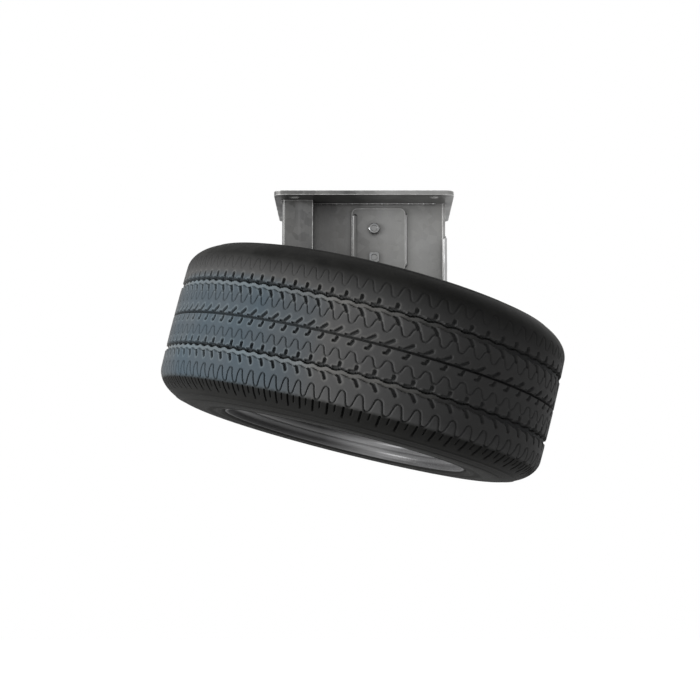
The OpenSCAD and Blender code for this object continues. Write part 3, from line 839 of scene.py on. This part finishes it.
@dataclass(frozen=True)
class Tread:
    """Tread pattern: three grooves with hooked notches, looped sipes in the ribs and slits on the shoulders.

    One pitch repeats round the tyre, in runs of long and of short ones. Across the tyre, 0 is its middle, + is
    the inner side of the wheel, and distances follow the surface round the shoulders. A sipe is given by its
    middle, its reach to both sides and its share of the full depth.
    """

    pitches: int = 80
    runs: int = 2
    run_edge: float = 2.5
    uneven: float = 0.21
    first_run: float = -93.0
    depth: float = 8.0
    side_grooves: Point = (43.0, -45.0)
    side_half: float = 3.9
    side_dark: float = 2.2
    side_depth: float = 3.0
    side_sway: float = 1.15
    mid_half: float = 1.4
    mid_black: float = 0.55
    cut_black: float = 0.75
    wall: float = 1.2
    edge_highlight_at: float = 1.4
    sipe_half: float = 0.8
    sipe_depth: float = 2.2
    sipe_black: float = 0.5
    sipe_square: float = 1.5
    sipe_points: int = 160
    sipes: tuple[Place, ...] = (
        (-76.0, 9.5, 1.0), (-23.0, 6.0, 0.7), (24.0, 6.2, 0.7), (70.0, 7.5, 0.35))
    outer_shift: float = -0.33
    hooks: tuple[Cut, ...] = (
        Cut((0.0, 5.0), (0.02, 11.0), 4.6, 3.4),
        Cut((-0.36, 4.0), (0.0, 4.8), 3.2, 4.6),
        Cut((-0.04, -4.6), (0.12, -5.0), 2.6, 4.0),
        Cut((0.12, -5.4), (0.3, -11.8), 4.1, 3.0),
    )
    middle_cuts: tuple[Cut, ...] = (
        Cut((-0.42, 2.4), (-0.12, 2.2), 2.4, 3.2),
        Cut((-0.12, 2.2), (0.26, 9.0), 4.0, 3.2),
        Cut((0.14, -3.8), (0.06, -7.8), 3.8, 3.2),
        Cut((-0.1, -8.6), (0.06, -8.2), 2.8, 3.0),
    )
    slits: tuple[Cut, ...] = (
        Cut((0.5, -88.0), (0.5, -103.0), 2.4, 5.0),
        Cut((0.0, -88.0), (0.0, -97.0), 1.2, 4.0),
    )

    def angles(self, columns: int) -> np.ndarray:
        """Gives the angles of a ring, closer together in the runs of short pitches.

        Args:
            columns: Number of points in a pitch.

        Returns:
            Angles round a full turn.
        """
        place = (np.arange(self.pitches) + 0.5) / self.pitches
        length = 1 + self.uneven * np.clip(self.run_edge * np.sin(TAU * self.runs * place), -1, 1)
        length *= TAU / length.sum()
        start = math.radians(self.first_run) + np.cumsum(length) - length
        return (start[:, None] + length[:, None] * np.arange(columns) / columns).ravel()

    def cuts(self) -> list[Cut]:
        """Gives every slot of one pitch. Both side grooves have the same hooks.

        Returns:
            The slots.
        """
        inner, outer = self.side_grooves
        hooks = [cut.moved(0.0, inner) for cut in self.hooks]
        hooks += [cut.moved(self.outer_shift, outer) for cut in self.hooks]
        return [*hooks, *self.middle_cuts, *self.slits]

    def sipe_share(self, points: np.ndarray, pitch: float) -> np.ndarray:
        """Gives the share of the looped sipes' depth at points.

        Args:
            points: Places round and across the tyre, in millimetres.
            pitch: Length of a pitch.

        Returns:
            Shares from 0 to 1.
        """
        turn = np.linspace(-0.5, 1.5, self.sipe_points)
        swing = np.tanh(self.sipe_square * np.sin(TAU * turn)) / math.tanh(self.sipe_square)
        found = np.zeros(len(points))
        for middle, reach, strength in self.sipes:
            line = np.stack([turn * pitch, middle + reach * swing], axis=1)
            away = np.linalg.norm(points[:, None] - line[None], axis=2).min(axis=1)
            found = np.maximum(found, strength * self.ramp(away - self.sipe_half))
        return found

    def ramp(self, outside: np.ndarray) -> np.ndarray:
        """Gives the share of a cut's depth at a distance outside its edge."""
        share = np.clip(0.5 - outside / self.wall, 0, 1)
        return share * share * (3 - 2 * share)

    def row(self, turn: np.ndarray, across: float, pitch: float) -> tuple[np.ndarray, np.ndarray]:
        """Cuts one row of the grid.

        Args:
            turn: Places in one pitch, from 0 to 1.
            across: The row's place across the tyre.
            pitch: Length of a pitch.

        Returns:
            Depths in millimetres, and rows of the shares of dark slot, with the painted shadow in the side grooves,
            groove floor, and painted highlight along the slots' edges.
        """
        points = np.stack([turn * pitch, np.full_like(turn, across)], axis=1)
        inner, outer = self.side_grooves
        middle, lag = (outer, self.outer_shift) if across < 0 else (inner, 0.0)
        aside = across - middle - self.side_sway * np.sin(TAU * (turn - lag))
        groove, dark = (self.ramp(np.abs(aside - self.side_half + half) - half)
                        for half in (self.side_half, self.side_dark / 2))
        centre = self.ramp(np.full_like(turn, abs(across) - self.mid_half))
        depth = np.maximum(self.side_depth * groove, self.depth * np.maximum(dark, centre))
        near = np.full_like(turn, np.inf)
        for cut in self.cuts():
            outside = cut.outside(points, pitch)
            near = np.minimum(near, outside)
            depth = np.maximum(depth, cut.depth * self.ramp(outside))
        # The black band along the inner side of each side groove is a painted shadow of the groove's wall.
        cuts, line = self.ramp(near), np.maximum(self.mid_black * centre, dark)
        sipe = self.sipe_share(points, pitch)
        depth = np.maximum(depth, self.sipe_depth * sipe)
        plain = 1 - np.maximum(line, cuts)
        # Painted highlight: a pale band around each slot.
        edge_highlight = np.exp(-((np.maximum(near, 0.0) - self.edge_highlight_at) / self.edge_highlight_at) ** 2) * plain
        black = np.maximum(line, np.maximum(self.cut_black * cuts, self.sipe_black * sipe))
        return depth, np.stack([black, groove * plain, edge_highlight])


@dataclass
class Tyre(Assembly):
    """The spare tyre as one closed mesh: tread, shoulders, ribbed sidewalls, beads and liner.

    A band of the sidewall is given by its two radii and its height. Sections are given as radius and place
    across the tyre.
    """

    body: ClassVar[Body] = Body.WHEEL

    radius: float = 269.5
    half_width: float = 109.5
    widest_r: float = 206.0
    half_tread: float = 70.0
    crown_drop: float = 1.0
    crown_t: float = 17.0
    side_t: float = 9.0
    guard: Point = (173.95, 106.65)
    heel_mid: Point = (159.95, 98.65)
    heel_r: float = 10.0
    fold_mid: Point = (155.65, 85.65)
    fold_r: float = 3.0
    toe_z: float = 71.9
    toe_h: float = 8.75
    bead_top: Point = (170.4, 80.4)
    crown_points: int = 36
    shoulder_points: int = 90
    heel_points: int = 7
    fold_points: int = 5
    liner_points: int = 7
    columns: int = 24
    side_columns: int = 8
    bead_columns: int = 4
    row_step: float = 1.1
    side_step: float = 3.0
    reach: float = 104.0
    run_and_shade_edges: tuple[float, ...] = (-88.0, -83.0, 46.0, 84.0)
    dry_edges: Point = (46.0, 60.0)
    dry: float = 0.93
    dusty_side: float = -135.0
    dust_and_light_edge: float = 0.45
    dust_and_light_slope: float = 3.0
    bands: tuple[Place, ...] = (
        (238.0, 241.0, 0.6), (222.0, 225.5, -0.7), (196.5, 198.5, 0.5), (177.0, 181.0, 0.6))
    band_slope: float = 0.8
    serrated: Point = (184.0, 194.0)
    tooth: float = 0.45
    crease: float = 42.0
    tread: Tread = field(default_factory=Tread)

    def outline(self) -> np.ndarray:
        """Gives the outer section from the middle of the tread to the widest place.

        Returns:
            Rows of the distance along it, the radius and the place across the tyre.
        """
        flat = np.linspace(0, self.half_tread, self.crown_points)
        turn = np.radians(np.linspace(0, 90, self.shoulder_points + 1)[1:])
        drop = self.crown_drop * (flat / self.half_tread) ** 2
        high = self.radius - self.crown_drop - self.widest_r
        radius = np.concatenate([self.radius - drop, self.widest_r + high * np.cos(turn)])
        wide = self.half_width - self.half_tread
        across = np.concatenate([flat, self.half_tread + wide * np.sin(turn)])
        along = np.concatenate([[0], np.cumsum(np.hypot(np.diff(radius), np.diff(across)))])
        return np.stack([along, radius, across])

    def tread_rings(self) -> tuple[list[np.ndarray], list[np.ndarray]]:
        """Makes the fine rings of the tread and the upper shoulders.

        Returns:
            Rings from the outer to the inner side, and the marks of their points.
        """
        tread, (along, radius, across) = self.tread, self.outline()
        fall = np.arctan2(-np.gradient(radius, along), np.gradient(across, along))
        turn = np.arange(self.columns) / self.columns
        angles = tread.angles(self.columns)
        pitch = TAU * self.radius / tread.pitches
        # Painted light with dust: the side of the tread turned towards the key lamp is marked, and the finish paints
        # it lighter and dustier.
        facing = np.cos(angles - math.radians(self.dusty_side)) - self.dust_and_light_edge
        dust_and_light = 0.5 + 0.5 * np.tanh(self.dust_and_light_slope * facing)[None]
        lip = tread.wall / 2
        rows = graded([0.0, tread.mid_half - lip, tread.mid_half + lip, self.reach], self.row_step)
        rings, marks = [], []
        for place in np.concatenate([-rows[:0:-1], rows]):
            depth, shares = tread.row(turn, place, pitch)
            lean = np.interp(abs(place), along, fall)
            ring_r = np.interp(abs(place), along, radius) - depth * math.cos(lean)
            ring_z = math.copysign(1.0, place) * (np.interp(abs(place), along, across) - depth * math.sin(lean))
            # The run fades slowly on the inner side: painted shade where the tread turns up, away from the key lamp.
            run = np.full((1, len(angles)), np.interp(place, self.run_and_shade_edges, (0.0, 1.0, 1.0, 0.0)))
            dry = np.interp(place, self.dry_edges, (1.0, self.dry))
            marks.append(np.concatenate([run, np.tile(shares, tread.pitches), dust_and_light * dry]))
            rings.append(round_ring(np.tile(ring_r, tread.pitches), np.tile(ring_z, tread.pitches), angles))
        return rings, marks

    def side_across(self, radius: float) -> float:
        """Gives the place across the tyre of its shoulder or sidewall.

        Args:
            radius: Radius on the side.

        Returns:
            The distance from the middle of the tyre.
        """
        top = self.radius - self.crown_drop
        inner, end = (self.half_tread, top) if radius > self.widest_r else (self.guard[1], self.guard[0])
        share = (radius - self.widest_r) / (end - self.widest_r)
        return inner + (self.half_width - inner) * math.sqrt(max(0.0, 1 - share ** 2))

    def side_profile(self) -> list[Point]:
        """Gives the section from the end of the tread's grid down the sidewall to the guard.

        Returns:
            Points of the section.
        """
        along, radius, _ = self.outline()
        start, slope = float(np.interp(self.reach, along, radius)), self.band_slope
        edges = {e for low, high, _ in self.bands for e in (low, low + slope, high - slope, high)}
        stops = sorted({self.guard[0], *edges, *self.serrated, self.widest_r, start})
        return [(r, self.side_across(r)) for r in graded(stops, self.side_step)[-2::-1]]

    def side_ring(self, point: Point, way: int, angles: np.ndarray) -> np.ndarray:
        """Makes one ring of a sidewall, with its raised and sunk bands and its teeth.

        Args:
            point: Point of the section.
            way: 1 on the inner side of the wheel and -1 on the outer side.
            angles: Angles of the points.

        Returns:
            The ring.
        """
        (radius, across), half = point, self.band_slope / 2
        raised = sum(h for low, high, h in self.bands if low + half < radius < high - half)
        proud = np.full(len(angles), min(raised, max(0.0, self.half_width - across)))
        if self.serrated[0] < radius < self.serrated[1]:
            proud = proud - self.tooth * (np.arange(len(angles)) % 2)
        return round_ring(radius, way * (across + proud), angles)

    def bead_profile(self) -> list[Point]:
        """Gives the section round the bead and back along the liner to the middle of the tyre.

        Returns:
            Points of the section.
        """
        heel = arc(self.heel_mid, (self.heel_r, self.heel_r), (0, -90), self.heel_points)
        fold = arc(self.fold_mid, (self.fold_r, self.fold_r), (90, 180), self.fold_points)
        room = (self.radius - self.crown_t - self.widest_r, self.half_width - self.side_t - self.half_tread)
        liner = arc((self.widest_r, self.half_tread), room, (90, 0), self.liner_points)
        bore = fold[-1][0]
        return [*heel, *fold, (bore, self.toe_z), (bore + self.toe_h, self.toe_z), self.bead_top, *liner]

    def flank(self, way: int) -> list[np.ndarray]:
        """Makes the rings of one side, down from the tread, round the bead and along the liner.

        Args:
            way: 1 on the inner side of the wheel and -1 on the outer side.

        Returns:
            The rings in order.
        """
        angles, coarse = self.tread.angles(self.side_columns), self.tread.angles(self.bead_columns)
        side = [self.side_ring(point, way, angles) for point in self.side_profile()]
        return side + [round_ring(radius, way * across, coarse) for radius, across in self.bead_profile()]

    def build(self) -> None:
        """Makes the tyre from its rings and marks its tread."""
        outer, inner = self.flank(-1)[::-1], self.flank(1)
        rings, marks = self.tread_rings()
        skin = Skin([*outer, *rings, *inner]).close()
        piece = skin.object("notched_tyre", wheel_place(), self.crease)
        self.mark(piece, sum(len(ring) for ring in outer), np.concatenate(marks, axis=1))
        self.fit(piece, TYRE, "tyre")

    def mark(self, piece: Piece, start: int, shares: np.ndarray) -> None:
        """Writes the tread's marks onto the mesh.

        Args:
            piece: The tyre.
            start: Index of the first point of the tread.
            shares: A row for each mark, with a value for each point of the tread.
        """
        for mark, share in zip(Mark, shares):
            values = np.zeros(len(piece.data.vertices), np.float32)
            values[start:start + len(share)] = share
            piece.data.attributes.new(mark.value, "FLOAT", "POINT").data.foreach_set("value", values)


@dataclass
class WheelSet(Assembly):
    """Rim, disc and valve, the weld that joins the disc to the rim, and the lips of the rim's flanges."""

    body: ClassVar[Body] = Body.WHEEL

    weld_r: float = 126.4
    weld_z: float = -8.4
    weld_count: int = 8
    weld_arc: float = 26.0
    weld_size: float = 2.2
    weld_points: int = 60
    lip_mid: Point = (167.95, 104.8)
    lip_half: float = 1.75
    lip_root: float = 102.4
    lip_points: int = 9
    lip_columns: int = 180

    def build(self) -> None:
        """Dresses the wheel and adds its weld beads and the round lips of its flanges."""
        self.keep(SILVER, "rim", "wheel_disc")
        self.keep(VALVE, "valve_stem")
        self.keep(PLASTIC, "valve_cap")
        reach = self.weld_arc / 2
        for i in range(self.weld_count):
            middle = 360 * i / self.weld_count
            angles = np.radians(np.linspace(middle - reach, middle + reach, self.weld_points))
            path = round_ring(self.weld_r, self.weld_z, angles)
            self.fit(WeldBead(self.weld_size).object(f"disc_weld_{i + 1}", path, wheel_place()), SILVER)
        for word, way in (("inner", 1), ("outer", -1)):
            self.fit(self.lip(f"{word}_flange_lip", way), DULL_LIP)

    def lip(self, name: str, way: int) -> Piece:
        """Makes the round lip at the edge of a flange.

        Args:
            name: Name of the object.
            way: 1 on the inner side of the wheel and -1 on the outer side.

        Returns:
            The new object.
        """
        bend = arc(self.lip_mid, (self.lip_half, self.lip_half), (0, 180), self.lip_points)
        section = [(bend[0][0], self.lip_root), *bend, (bend[-1][0], self.lip_root)]
        rings = [round_ring(radius, way * across, turns(self.lip_columns)) for radius, across in section]
        return Skin(rings).close().object(name, wheel_place())


# Hardware


@dataclass(frozen=True)
class WeldBead:
    """A weld bead along a path, rippled or smooth, with round ends."""

    size: float = 2.4
    ripple: float = 0.28
    ripple_pitch: float = 2.6
    end_share: float = 0.02
    steep: float = 0.9
    sides: int = 12
    crease: float = 60.0

    def object(self, name: str, path: np.ndarray, place: Matrix) -> Piece:
        """Makes the bead.

        Args:
            name: Name of the object.
            path: Points along the middle of the bead, in millimetres.
            place: Frame that the points are given in.

        Returns:
            The new object.
        """
        ahead = np.gradient(path, axis=0)
        ahead /= np.linalg.norm(ahead, axis=1)[:, None]
        run = np.concatenate([[0], np.cumsum(np.linalg.norm(np.diff(path, axis=0), axis=1))])
        up = np.array([0.0, 0.0, 1.0]) if abs(ahead[0][2]) < self.steep else np.array([0.0, 1.0, 0.0])
        angles, rings = turns(self.sides)[:, None], []
        for point, forward, at in zip(path, ahead, run):
            side = np.cross(forward, up)
            side /= np.linalg.norm(side)
            over = np.cross(side, forward)
            end = math.sqrt(max(self.end_share, min(1.0, at / self.size, (run[-1] - at) / self.size)))
            wave = 1 - self.ripple * (1 - abs(math.sin(math.pi * at / self.ripple_pitch)))
            rings.append(point + self.size * end * wave * (np.cos(angles) * side + np.sin(angles) * over))
        return Skin(rings).cap().object(name, place, self.crease)


class Head(Enum):
    """Heads of a bolt: sides, width over flats, angle of the first corner and share of the flats that stays flat."""

    HEXAGON = (6, 13.6, 0.0, 0.475)
    SQUARE = (4, 12.8, 45.0, 0.62)

    def radii(self, inset: float, columns: int) -> np.ndarray:
        """Gives the outline at a depth below the end face.

        Args:
            inset: Depth below the end face.
            columns: Number of points.

        Returns:
            One radius for each point.
        """
        sides, flats, corner, face = self.value
        turn = np.mod(turns(columns) - math.radians(corner), TAU / sides) - math.pi / sides
        return np.minimum(flats / 2 / np.cos(turn), face * flats + inset * BEVEL_SLOPE)

    def insets(self) -> np.ndarray:
        """Gives the depths at which the bevel of the end face is cut into rings."""
        sides, flats, _, face = self.value
        return np.linspace(0.0, (flats / 2 / math.cos(math.pi / sides) - face * flats) / BEVEL_SLOPE, BEVEL_RINGS)


@dataclass(frozen=True)
class Thread:
    """A screw thread: its cut is the slope times the distance from the middle of a turn, plus the offset."""

    pitch: float
    depth: float
    slope: float
    offset: float
    turn_rings: int = 8

    def places(self, start: float, end: float) -> np.ndarray:
        """Gives the places of the thread's rings along its axis."""
        return np.arange(start, end, self.pitch / self.turn_rings)

    def radii(self, crest: float, along: float, ease: float, angles: np.ndarray) -> np.ndarray:
        """Gives the outline of a ring of the thread.

        Args:
            crest: Radius of the crest.
            along: Place along the axis.
            ease: Share of the depth that is cut there.
            angles: Angles of the points.

        Returns:
            One radius for each point.
        """
        away = np.abs(np.mod(along / self.pitch - angles / TAU, 1) - 0.5)
        return crest - ease * self.depth * np.clip(self.slope * away + self.offset, 0, 1)


@dataclass(frozen=True)
class Hardware:
    """Bolts and nuts along Y, with bevelled corners and threads."""

    diameter: float = 8.0
    head_t: float = 5.12
    nut_t: float = 6.72
    hole: float = 8.6
    hole_bevel: float = 0.5
    dish_r: float = 4.6
    dish: float = 0.7
    thread: Thread = Thread(1.25, 0.7, 2.6, -0.15)
    thread_turns: int = 10
    run_out: float = 0.6
    tip_bevel: float = 0.4
    columns: int = 72
    crease: float = 25.0

    def ring(self, radius: float | np.ndarray, along: float) -> np.ndarray:
        """Makes a ring about Y."""
        return cross_ring(radius, along, turns(self.columns))

    def bevel(self, head: Head, end: float, way: int) -> list[np.ndarray]:
        """Makes the rings of a bevelled end face, from the face inwards. Inwards is the way along Y."""
        return [self.ring(head.radii(inset, self.columns), end + way * inset) for inset in head.insets()]

    def bolt(self, name: str, head: Head, grip: float, tip: float, place: Matrix) -> Piece:
        """Makes a bolt with its head towards -Y.

        Args:
            name: Name of the object.
            head: Shape of the head.
            grip: Place of the head's bearing face, as a distance from the middle.
            tip: Place of the bolt's end.
            place: Frame of the bolt.

        Returns:
            The new object.
        """
        face, radius, thread = -grip - self.head_t, self.diameter / 2, self.thread
        rings = [self.ring(self.dish_r - self.dish, face + self.dish), self.ring(self.dish_r, face),
                 *self.bevel(head, face, 1), self.ring(head.radii(self.head_t, self.columns), -grip),
                 self.ring(radius, -grip)]
        start, root = tip - self.thread_turns * thread.pitch, radius - thread.depth
        for along in thread.places(start, tip - self.run_out):
            ease = min(1.0, (along - start) / thread.pitch)
            rings.append(self.ring(thread.radii(radius, along, ease, turns(self.columns)), along))
        rings += [self.ring(root, tip - self.tip_bevel), self.ring(root - self.tip_bevel, tip)]
        return Skin(rings).cap().object(name, place, self.crease)

    def nut(self, name: str, start: float, place: Matrix) -> Piece:
        """Makes a hexagon nut on the +Y side.

        Args:
            name: Name of the object.
            start: Place of the nut's bearing face.
            place: Frame of the nut.

        Returns:
            The new object.
        """
        bore, end, shape = self.hole / 2, start + self.nut_t, Head.HEXAGON
        rings = [self.ring(bore, start), *self.bevel(shape, start, 1), *self.bevel(shape, end, -1)[::-1],
                 self.ring(bore + self.hole_bevel, end), self.ring(bore, end - self.hole_bevel)]
        return Skin(rings).close().object(name, place, self.crease)


@dataclass(frozen=True)
class Seam:
    """A smooth upright bead on a sheet: its place over the sheet's middle, its two ends, its size and its finish."""

    name: str
    at: Point
    ends: Point
    size: float
    points: int
    finish: Finish

    def path(self, way: int) -> np.ndarray:
        """Gives the points along the seam on the front sheet, with a way of -1, or on the rear one, with 1."""
        x, y = self.at
        return np.linspace((x, way * y, self.ends[0]), (x, way * y, self.ends[1]), self.points)


@dataclass
class Hanger(Assembly):
    """Folded hanger under its chassis plate, with the pivot bolt, the lock bolt, the welds and rolled edges."""

    body: ClassVar[Body] = Body.HANGER

    grip: float = 42.4
    lock_grip: float = 40.4
    tip: float = 54.12
    lock_drop: float = 40.0
    plate_under: float = -6.0
    sheet_face: float = 34.4
    sheet_t: float = 3.0
    web_half: float = 100.0
    web_points: int = 280
    flange_out: float = 56.5
    flange_points: int = 40
    side: float = 112.0
    seams: tuple[Seam, ...] = (
        Seam("doubler_left_weld", (-12.4, 36.8), (-19.0, -95.0), 4.9, 120, GALVANISED),
        # The right doubler weld and the flange roll use the lighter copy of the steel, a painted highlight.
        Seam("doubler_right_weld", (57.0, 34.4), (-19.0, -95.0), 3.2, 120, PAINTED_HIGHLIGHT_STEEL),
        Seam("flange_roll", (110.5, 56.9), (-56.8, -145.0), 3.0, 60, PAINTED_HIGHLIGHT_STEEL),
    )

    def build(self) -> None:
        """Dresses the hanger and makes its bolts, nuts, welds and rolled edges."""
        self.keep(GALVANISED, "top_plate", "front_hanger", "rear_hanger", "front_doubler", "rear_doubler",
                  "left_tie", "right_tie")
        self.keep(ZINC, "pivot_sleeve", "pivot_washers", "lock_spacer", "lock_washer")
        hardware, pivot = Hardware(), pivot_place()
        lock = pivot @ Matrix.Translation((0.0, 0.0, -self.lock_drop * MM))
        bolt = hardware.bolt("pivot_hex_bolt", Head.HEXAGON, self.grip, self.tip, pivot)
        self.fit(bolt, ZINC, "pivot_bolt")
        self.fit(hardware.nut("pivot_hex_nut", self.grip, pivot), ZINC, "pivot_nut")
        bolt = hardware.bolt("lock_square_bolt", Head.SQUARE, self.lock_grip, self.tip, lock)
        self.fit(bolt, ZINC, "lock_bolt")
        self.fit(hardware.nut("lock_hex_nut", self.grip, lock), ZINC, "lock_nut")
        for word, way in WAYS:
            for name, path in self.plate_welds(way):
                self.fit(WeldBead().object(f"{word}_{name}", path, Matrix.Identity(4)), GALVANISED)
            for seam in self.seams:
                bead = WeldBead(seam.size, ripple=0.0)
                self.fit(bead.object(f"{word}_{seam.name}", seam.path(way), Matrix.Identity(4)), seam.finish)

    def plate_welds(self, way: int) -> list[tuple[str, np.ndarray]]:
        """Gives the welds of a sheet under the chassis plate.

        Args:
            way: -1 for the front sheet and 1 for the rear one.

        Returns:
            Names and paths of the welds.
        """
        face, out, under = way * self.sheet_face, way * self.flange_out, self.plate_under
        web = np.linspace((-self.web_half, face, under), (self.web_half, face, under), self.web_points)
        start = (-self.side, face + way * self.sheet_t, under)
        flange = np.linspace(start, (-self.side, out, under), self.flange_points)
        return [("web_weld", web), ("flange_weld", flange)]


@dataclass
class Arm(Assembly):
    """Tilting arm with the wheel seat at its foot."""

    body: ClassVar[Body] = Body.ARM

    foot_z: float = -23.9
    cheek: float = 31.0
    foot_half: float = 42.0
    weld_points: int = 120

    def build(self) -> None:
        """Dresses the arm and makes the welds of its seat."""
        self.keep(GALVANISED, "tilt_arm", "wheel_seat", "hub_spigot")
        self.keep(ZINC, "index_pins", "screw_boss")
        for word, way in WAYS:
            start, end = ((x, way * self.cheek, self.foot_z) for x in (-self.foot_half, self.foot_half))
            path = np.linspace(start, end, self.weld_points)
            self.fit(WeldBead().object(f"{word}_seat_weld", path, wheel_place()), GALVANISED)


@dataclass
class Clamp(Assembly):
    """Dished clamp plate with its thrust washer, which go up and down with the wheel."""

    body: ClassVar[Body] = Body.WHEEL

    def build(self) -> None:
        """Dresses the clamp plate and the washer."""
        self.keep(ZINC, "clamp_plate", "thrust_washer")


@dataclass
class CentreScrew(Assembly):
    """Long centre screw with its thread, its round head and the handle bar."""

    body: ClassVar[Body] = Body.SCREW

    radius: float = 8.0
    thread: Thread = Thread(4.0, 1.3, -3.2, 1.252)
    top: float = 118.1
    neck: float = 3.5
    head_r: float = 14.0
    head_high: float = -49.2
    head_low: float = -69.2
    head_bevel: float = 0.6
    bevel: float = 2.0
    bar_r: float = 6.1
    columns: int = 48

    def build(self) -> None:
        """Dresses the handle and makes the threaded screw."""
        self.keep(ZINC, "handle_bar")
        self.keep(PLASTIC, "handle_knobs")
        self.fit(self.screw(), ZINC, "clamp_screw")

    def screw(self) -> Piece:
        """Makes the screw and drills its head for the handle bar.

        Returns:
            The screw.
        """
        angles, thread = turns(self.columns), self.thread
        start, end = self.head_high + self.neck, self.top - self.bevel
        outline: list[tuple[float | np.ndarray, float]] = [
            (self.head_r - self.bevel, self.head_low), (self.head_r, self.head_low + self.bevel),
            (self.head_r, self.head_high - self.head_bevel), (self.head_r - self.head_bevel, self.head_high),
            (self.radius, self.head_high)]
        for height in thread.places(start, end):
            ease = min(1.0, (height - start) / thread.pitch, (end - height) / thread.pitch)
            outline.append((thread.radii(self.radius, height, ease, angles), height))
        outline += [(self.radius, end), (self.radius - self.bevel, self.top)]
        skin = Skin(round_ring(radius, height, angles) for radius, height in outline).cap()
        piece = skin.object("threaded_screw", wheel_place())
        self.drill(piece)
        return piece

    def drill(self, piece: Piece) -> None:
        """Cuts the cross hole through the head.

        Args:
            piece: The screw.
        """
        middle = np.array([0.0, 0.0, (self.head_high + self.head_low) / 2])
        ends, angles = (-2 * self.head_r, 2 * self.head_r), turns(self.columns)
        skin = Skin(cross_ring(self.bar_r, end, angles) + middle for end in ends).cap()
        drill = skin.object("bar_hole_drill", wheel_place())
        cut = piece.modifiers.new("bar_hole", "BOOLEAN")
        cut.operation, cut.object, cut.solver = "DIFFERENCE", drill, "EXACT"
        view = bpy.context.evaluated_depsgraph_get()
        drilled = bpy.data.meshes.new_from_object(piece.evaluated_get(view))
        piece.modifiers.clear()
        piece.data = drilled
        piece.data.set_sharp_from_angle(angle=math.radians(CREASE))
        bpy.data.objects.remove(drill)


# Studio


@dataclass(frozen=True)
class Lamp:
    """A square soft lamp: its name, its place, its width in metres and its power in watts."""

    name: str
    at: Place
    size: float
    power: float

    def build(self, target: Vector) -> None:
        """Makes the lamp.

        Args:
            target: Point that it faces.
        """
        light = bpy.data.lights.new(self.name, "AREA")
        light.size, light.energy = self.size, self.power
        lamp = bpy.data.objects.new(self.name, light)
        lamp.location = self.at
        lamp.rotation_euler = (target - Vector(self.at)).to_track_quat("-Z", "Y").to_euler()
        bpy.context.scene.collection.objects.link(lamp)


@dataclass
class Studio:
    """Pale floor, white backdrop, soft lamps and the camera at the photograph's angle."""

    floor_z: float = -2.4
    floor_half: float = 60.0
    floor_colour: Colour = srgb("f4f4f4")
    floor_rough: float = 0.9
    floor_glow: float = 0.85
    sky: float = 0.14
    lamps: tuple[Lamp, ...] = (
        Lamp("key_lamp", (-2.2, -1.4, -0.15), 1.2, 58.0), Lamp("back_lamp", (1.2, 2.4, 0.9), 2.0, 20.0))
    distance: float = 2.48
    pitch: float = 6.98
    lens: float = 92.0
    shift: Point = (-0.0185, 0.0238)

    def build(self) -> None:
        """Makes the floor, the world, the lamps and the camera."""
        self.floor()
        self.world()
        target = wheel_place().translation
        for lamp in self.lamps:
            lamp.build(target)
        self.camera(target)

    def backdrop(self, graph: Graph, hidden: Colour) -> Socket:
        """Gives white to rays that see the backdrop, straight, mirrored or through glass.

        Args:
            graph: Graph of the floor or the world.
            hidden: Colour for all other rays.

        Returns:
            The colour.
        """
        path = graph.add("ShaderNodeLightPath").outputs
        seen = graph.math("MAXIMUM", path["Is Camera Ray"], path["Is Glossy Ray"])
        return graph.mix(graph.math("MAXIMUM", seen, path["Is Transmission Ray"]), hidden, WHITE)

    def floor(self) -> None:
        """Makes the floor, which shows the object's shadow."""
        half = self.floor_half
        mesh = bpy.data.meshes.new("floor")
        corners = [(-half, -half), (half, -half), (half, half), (-half, half)]
        mesh.from_pydata([(x, y, self.floor_z) for x, y in corners], [], [(0, 1, 2, 3)])
        floor = bpy.data.objects.new("floor", mesh)
        bpy.context.scene.collection.objects.link(floor)
        material = bpy.data.materials.new("pale_floor")
        material.use_nodes = True
        graph = Graph(material.node_tree)
        graph.wire(material.node_tree.nodes["Principled BSDF"], {
            "Base Color": self.floor_colour,
            "Roughness": self.floor_rough,
            "Emission Color": self.backdrop(graph, BLACK),
            "Emission Strength": self.floor_glow,
        })
        mesh.materials.append(material)

    def world(self) -> None:
        """Makes the white backdrop and its softer light."""
        world = bpy.data.worlds.new("studio")
        world.use_nodes = True
        graph = Graph(world.node_tree)
        dim = self.backdrop(graph, (self.sky, self.sky, self.sky, 1.0))
        graph.wire(world.node_tree.nodes["Background"], {"Color": dim})
        bpy.context.scene.world = world
        bpy.context.scene.view_settings.view_transform = "Standard"

    def camera(self, target: Vector) -> None:
        """Makes the camera, which looks up along +Y.

        Args:
            target: Middle of the wheel.
        """
        rise = math.radians(self.pitch)
        ahead = Vector((0.0, math.cos(rise), math.sin(rise)))
        data = bpy.data.cameras.new("camera")
        data.lens = self.lens
        data.shift_x, data.shift_y = self.shift
        camera = bpy.data.objects.new("camera", data)
        camera.location = target - ahead * self.distance
        camera.rotation_euler = ahead.to_track_quat("-Z", "Y").to_euler()
        bpy.context.scene.collection.objects.link(camera)
        bpy.context.scene.camera = camera


def main() -> None:
    """Builds the studio and every sub-assembly in order."""
    logging.basicConfig(level=logging.INFO, format="%(name)s: %(message)s")
    Studio().build()
    for part in (Hanger(), Arm(), Tyre(), WheelSet(), Clamp(), CentreScrew()):
        part.build()


if __name__ == "__main__":
    main()
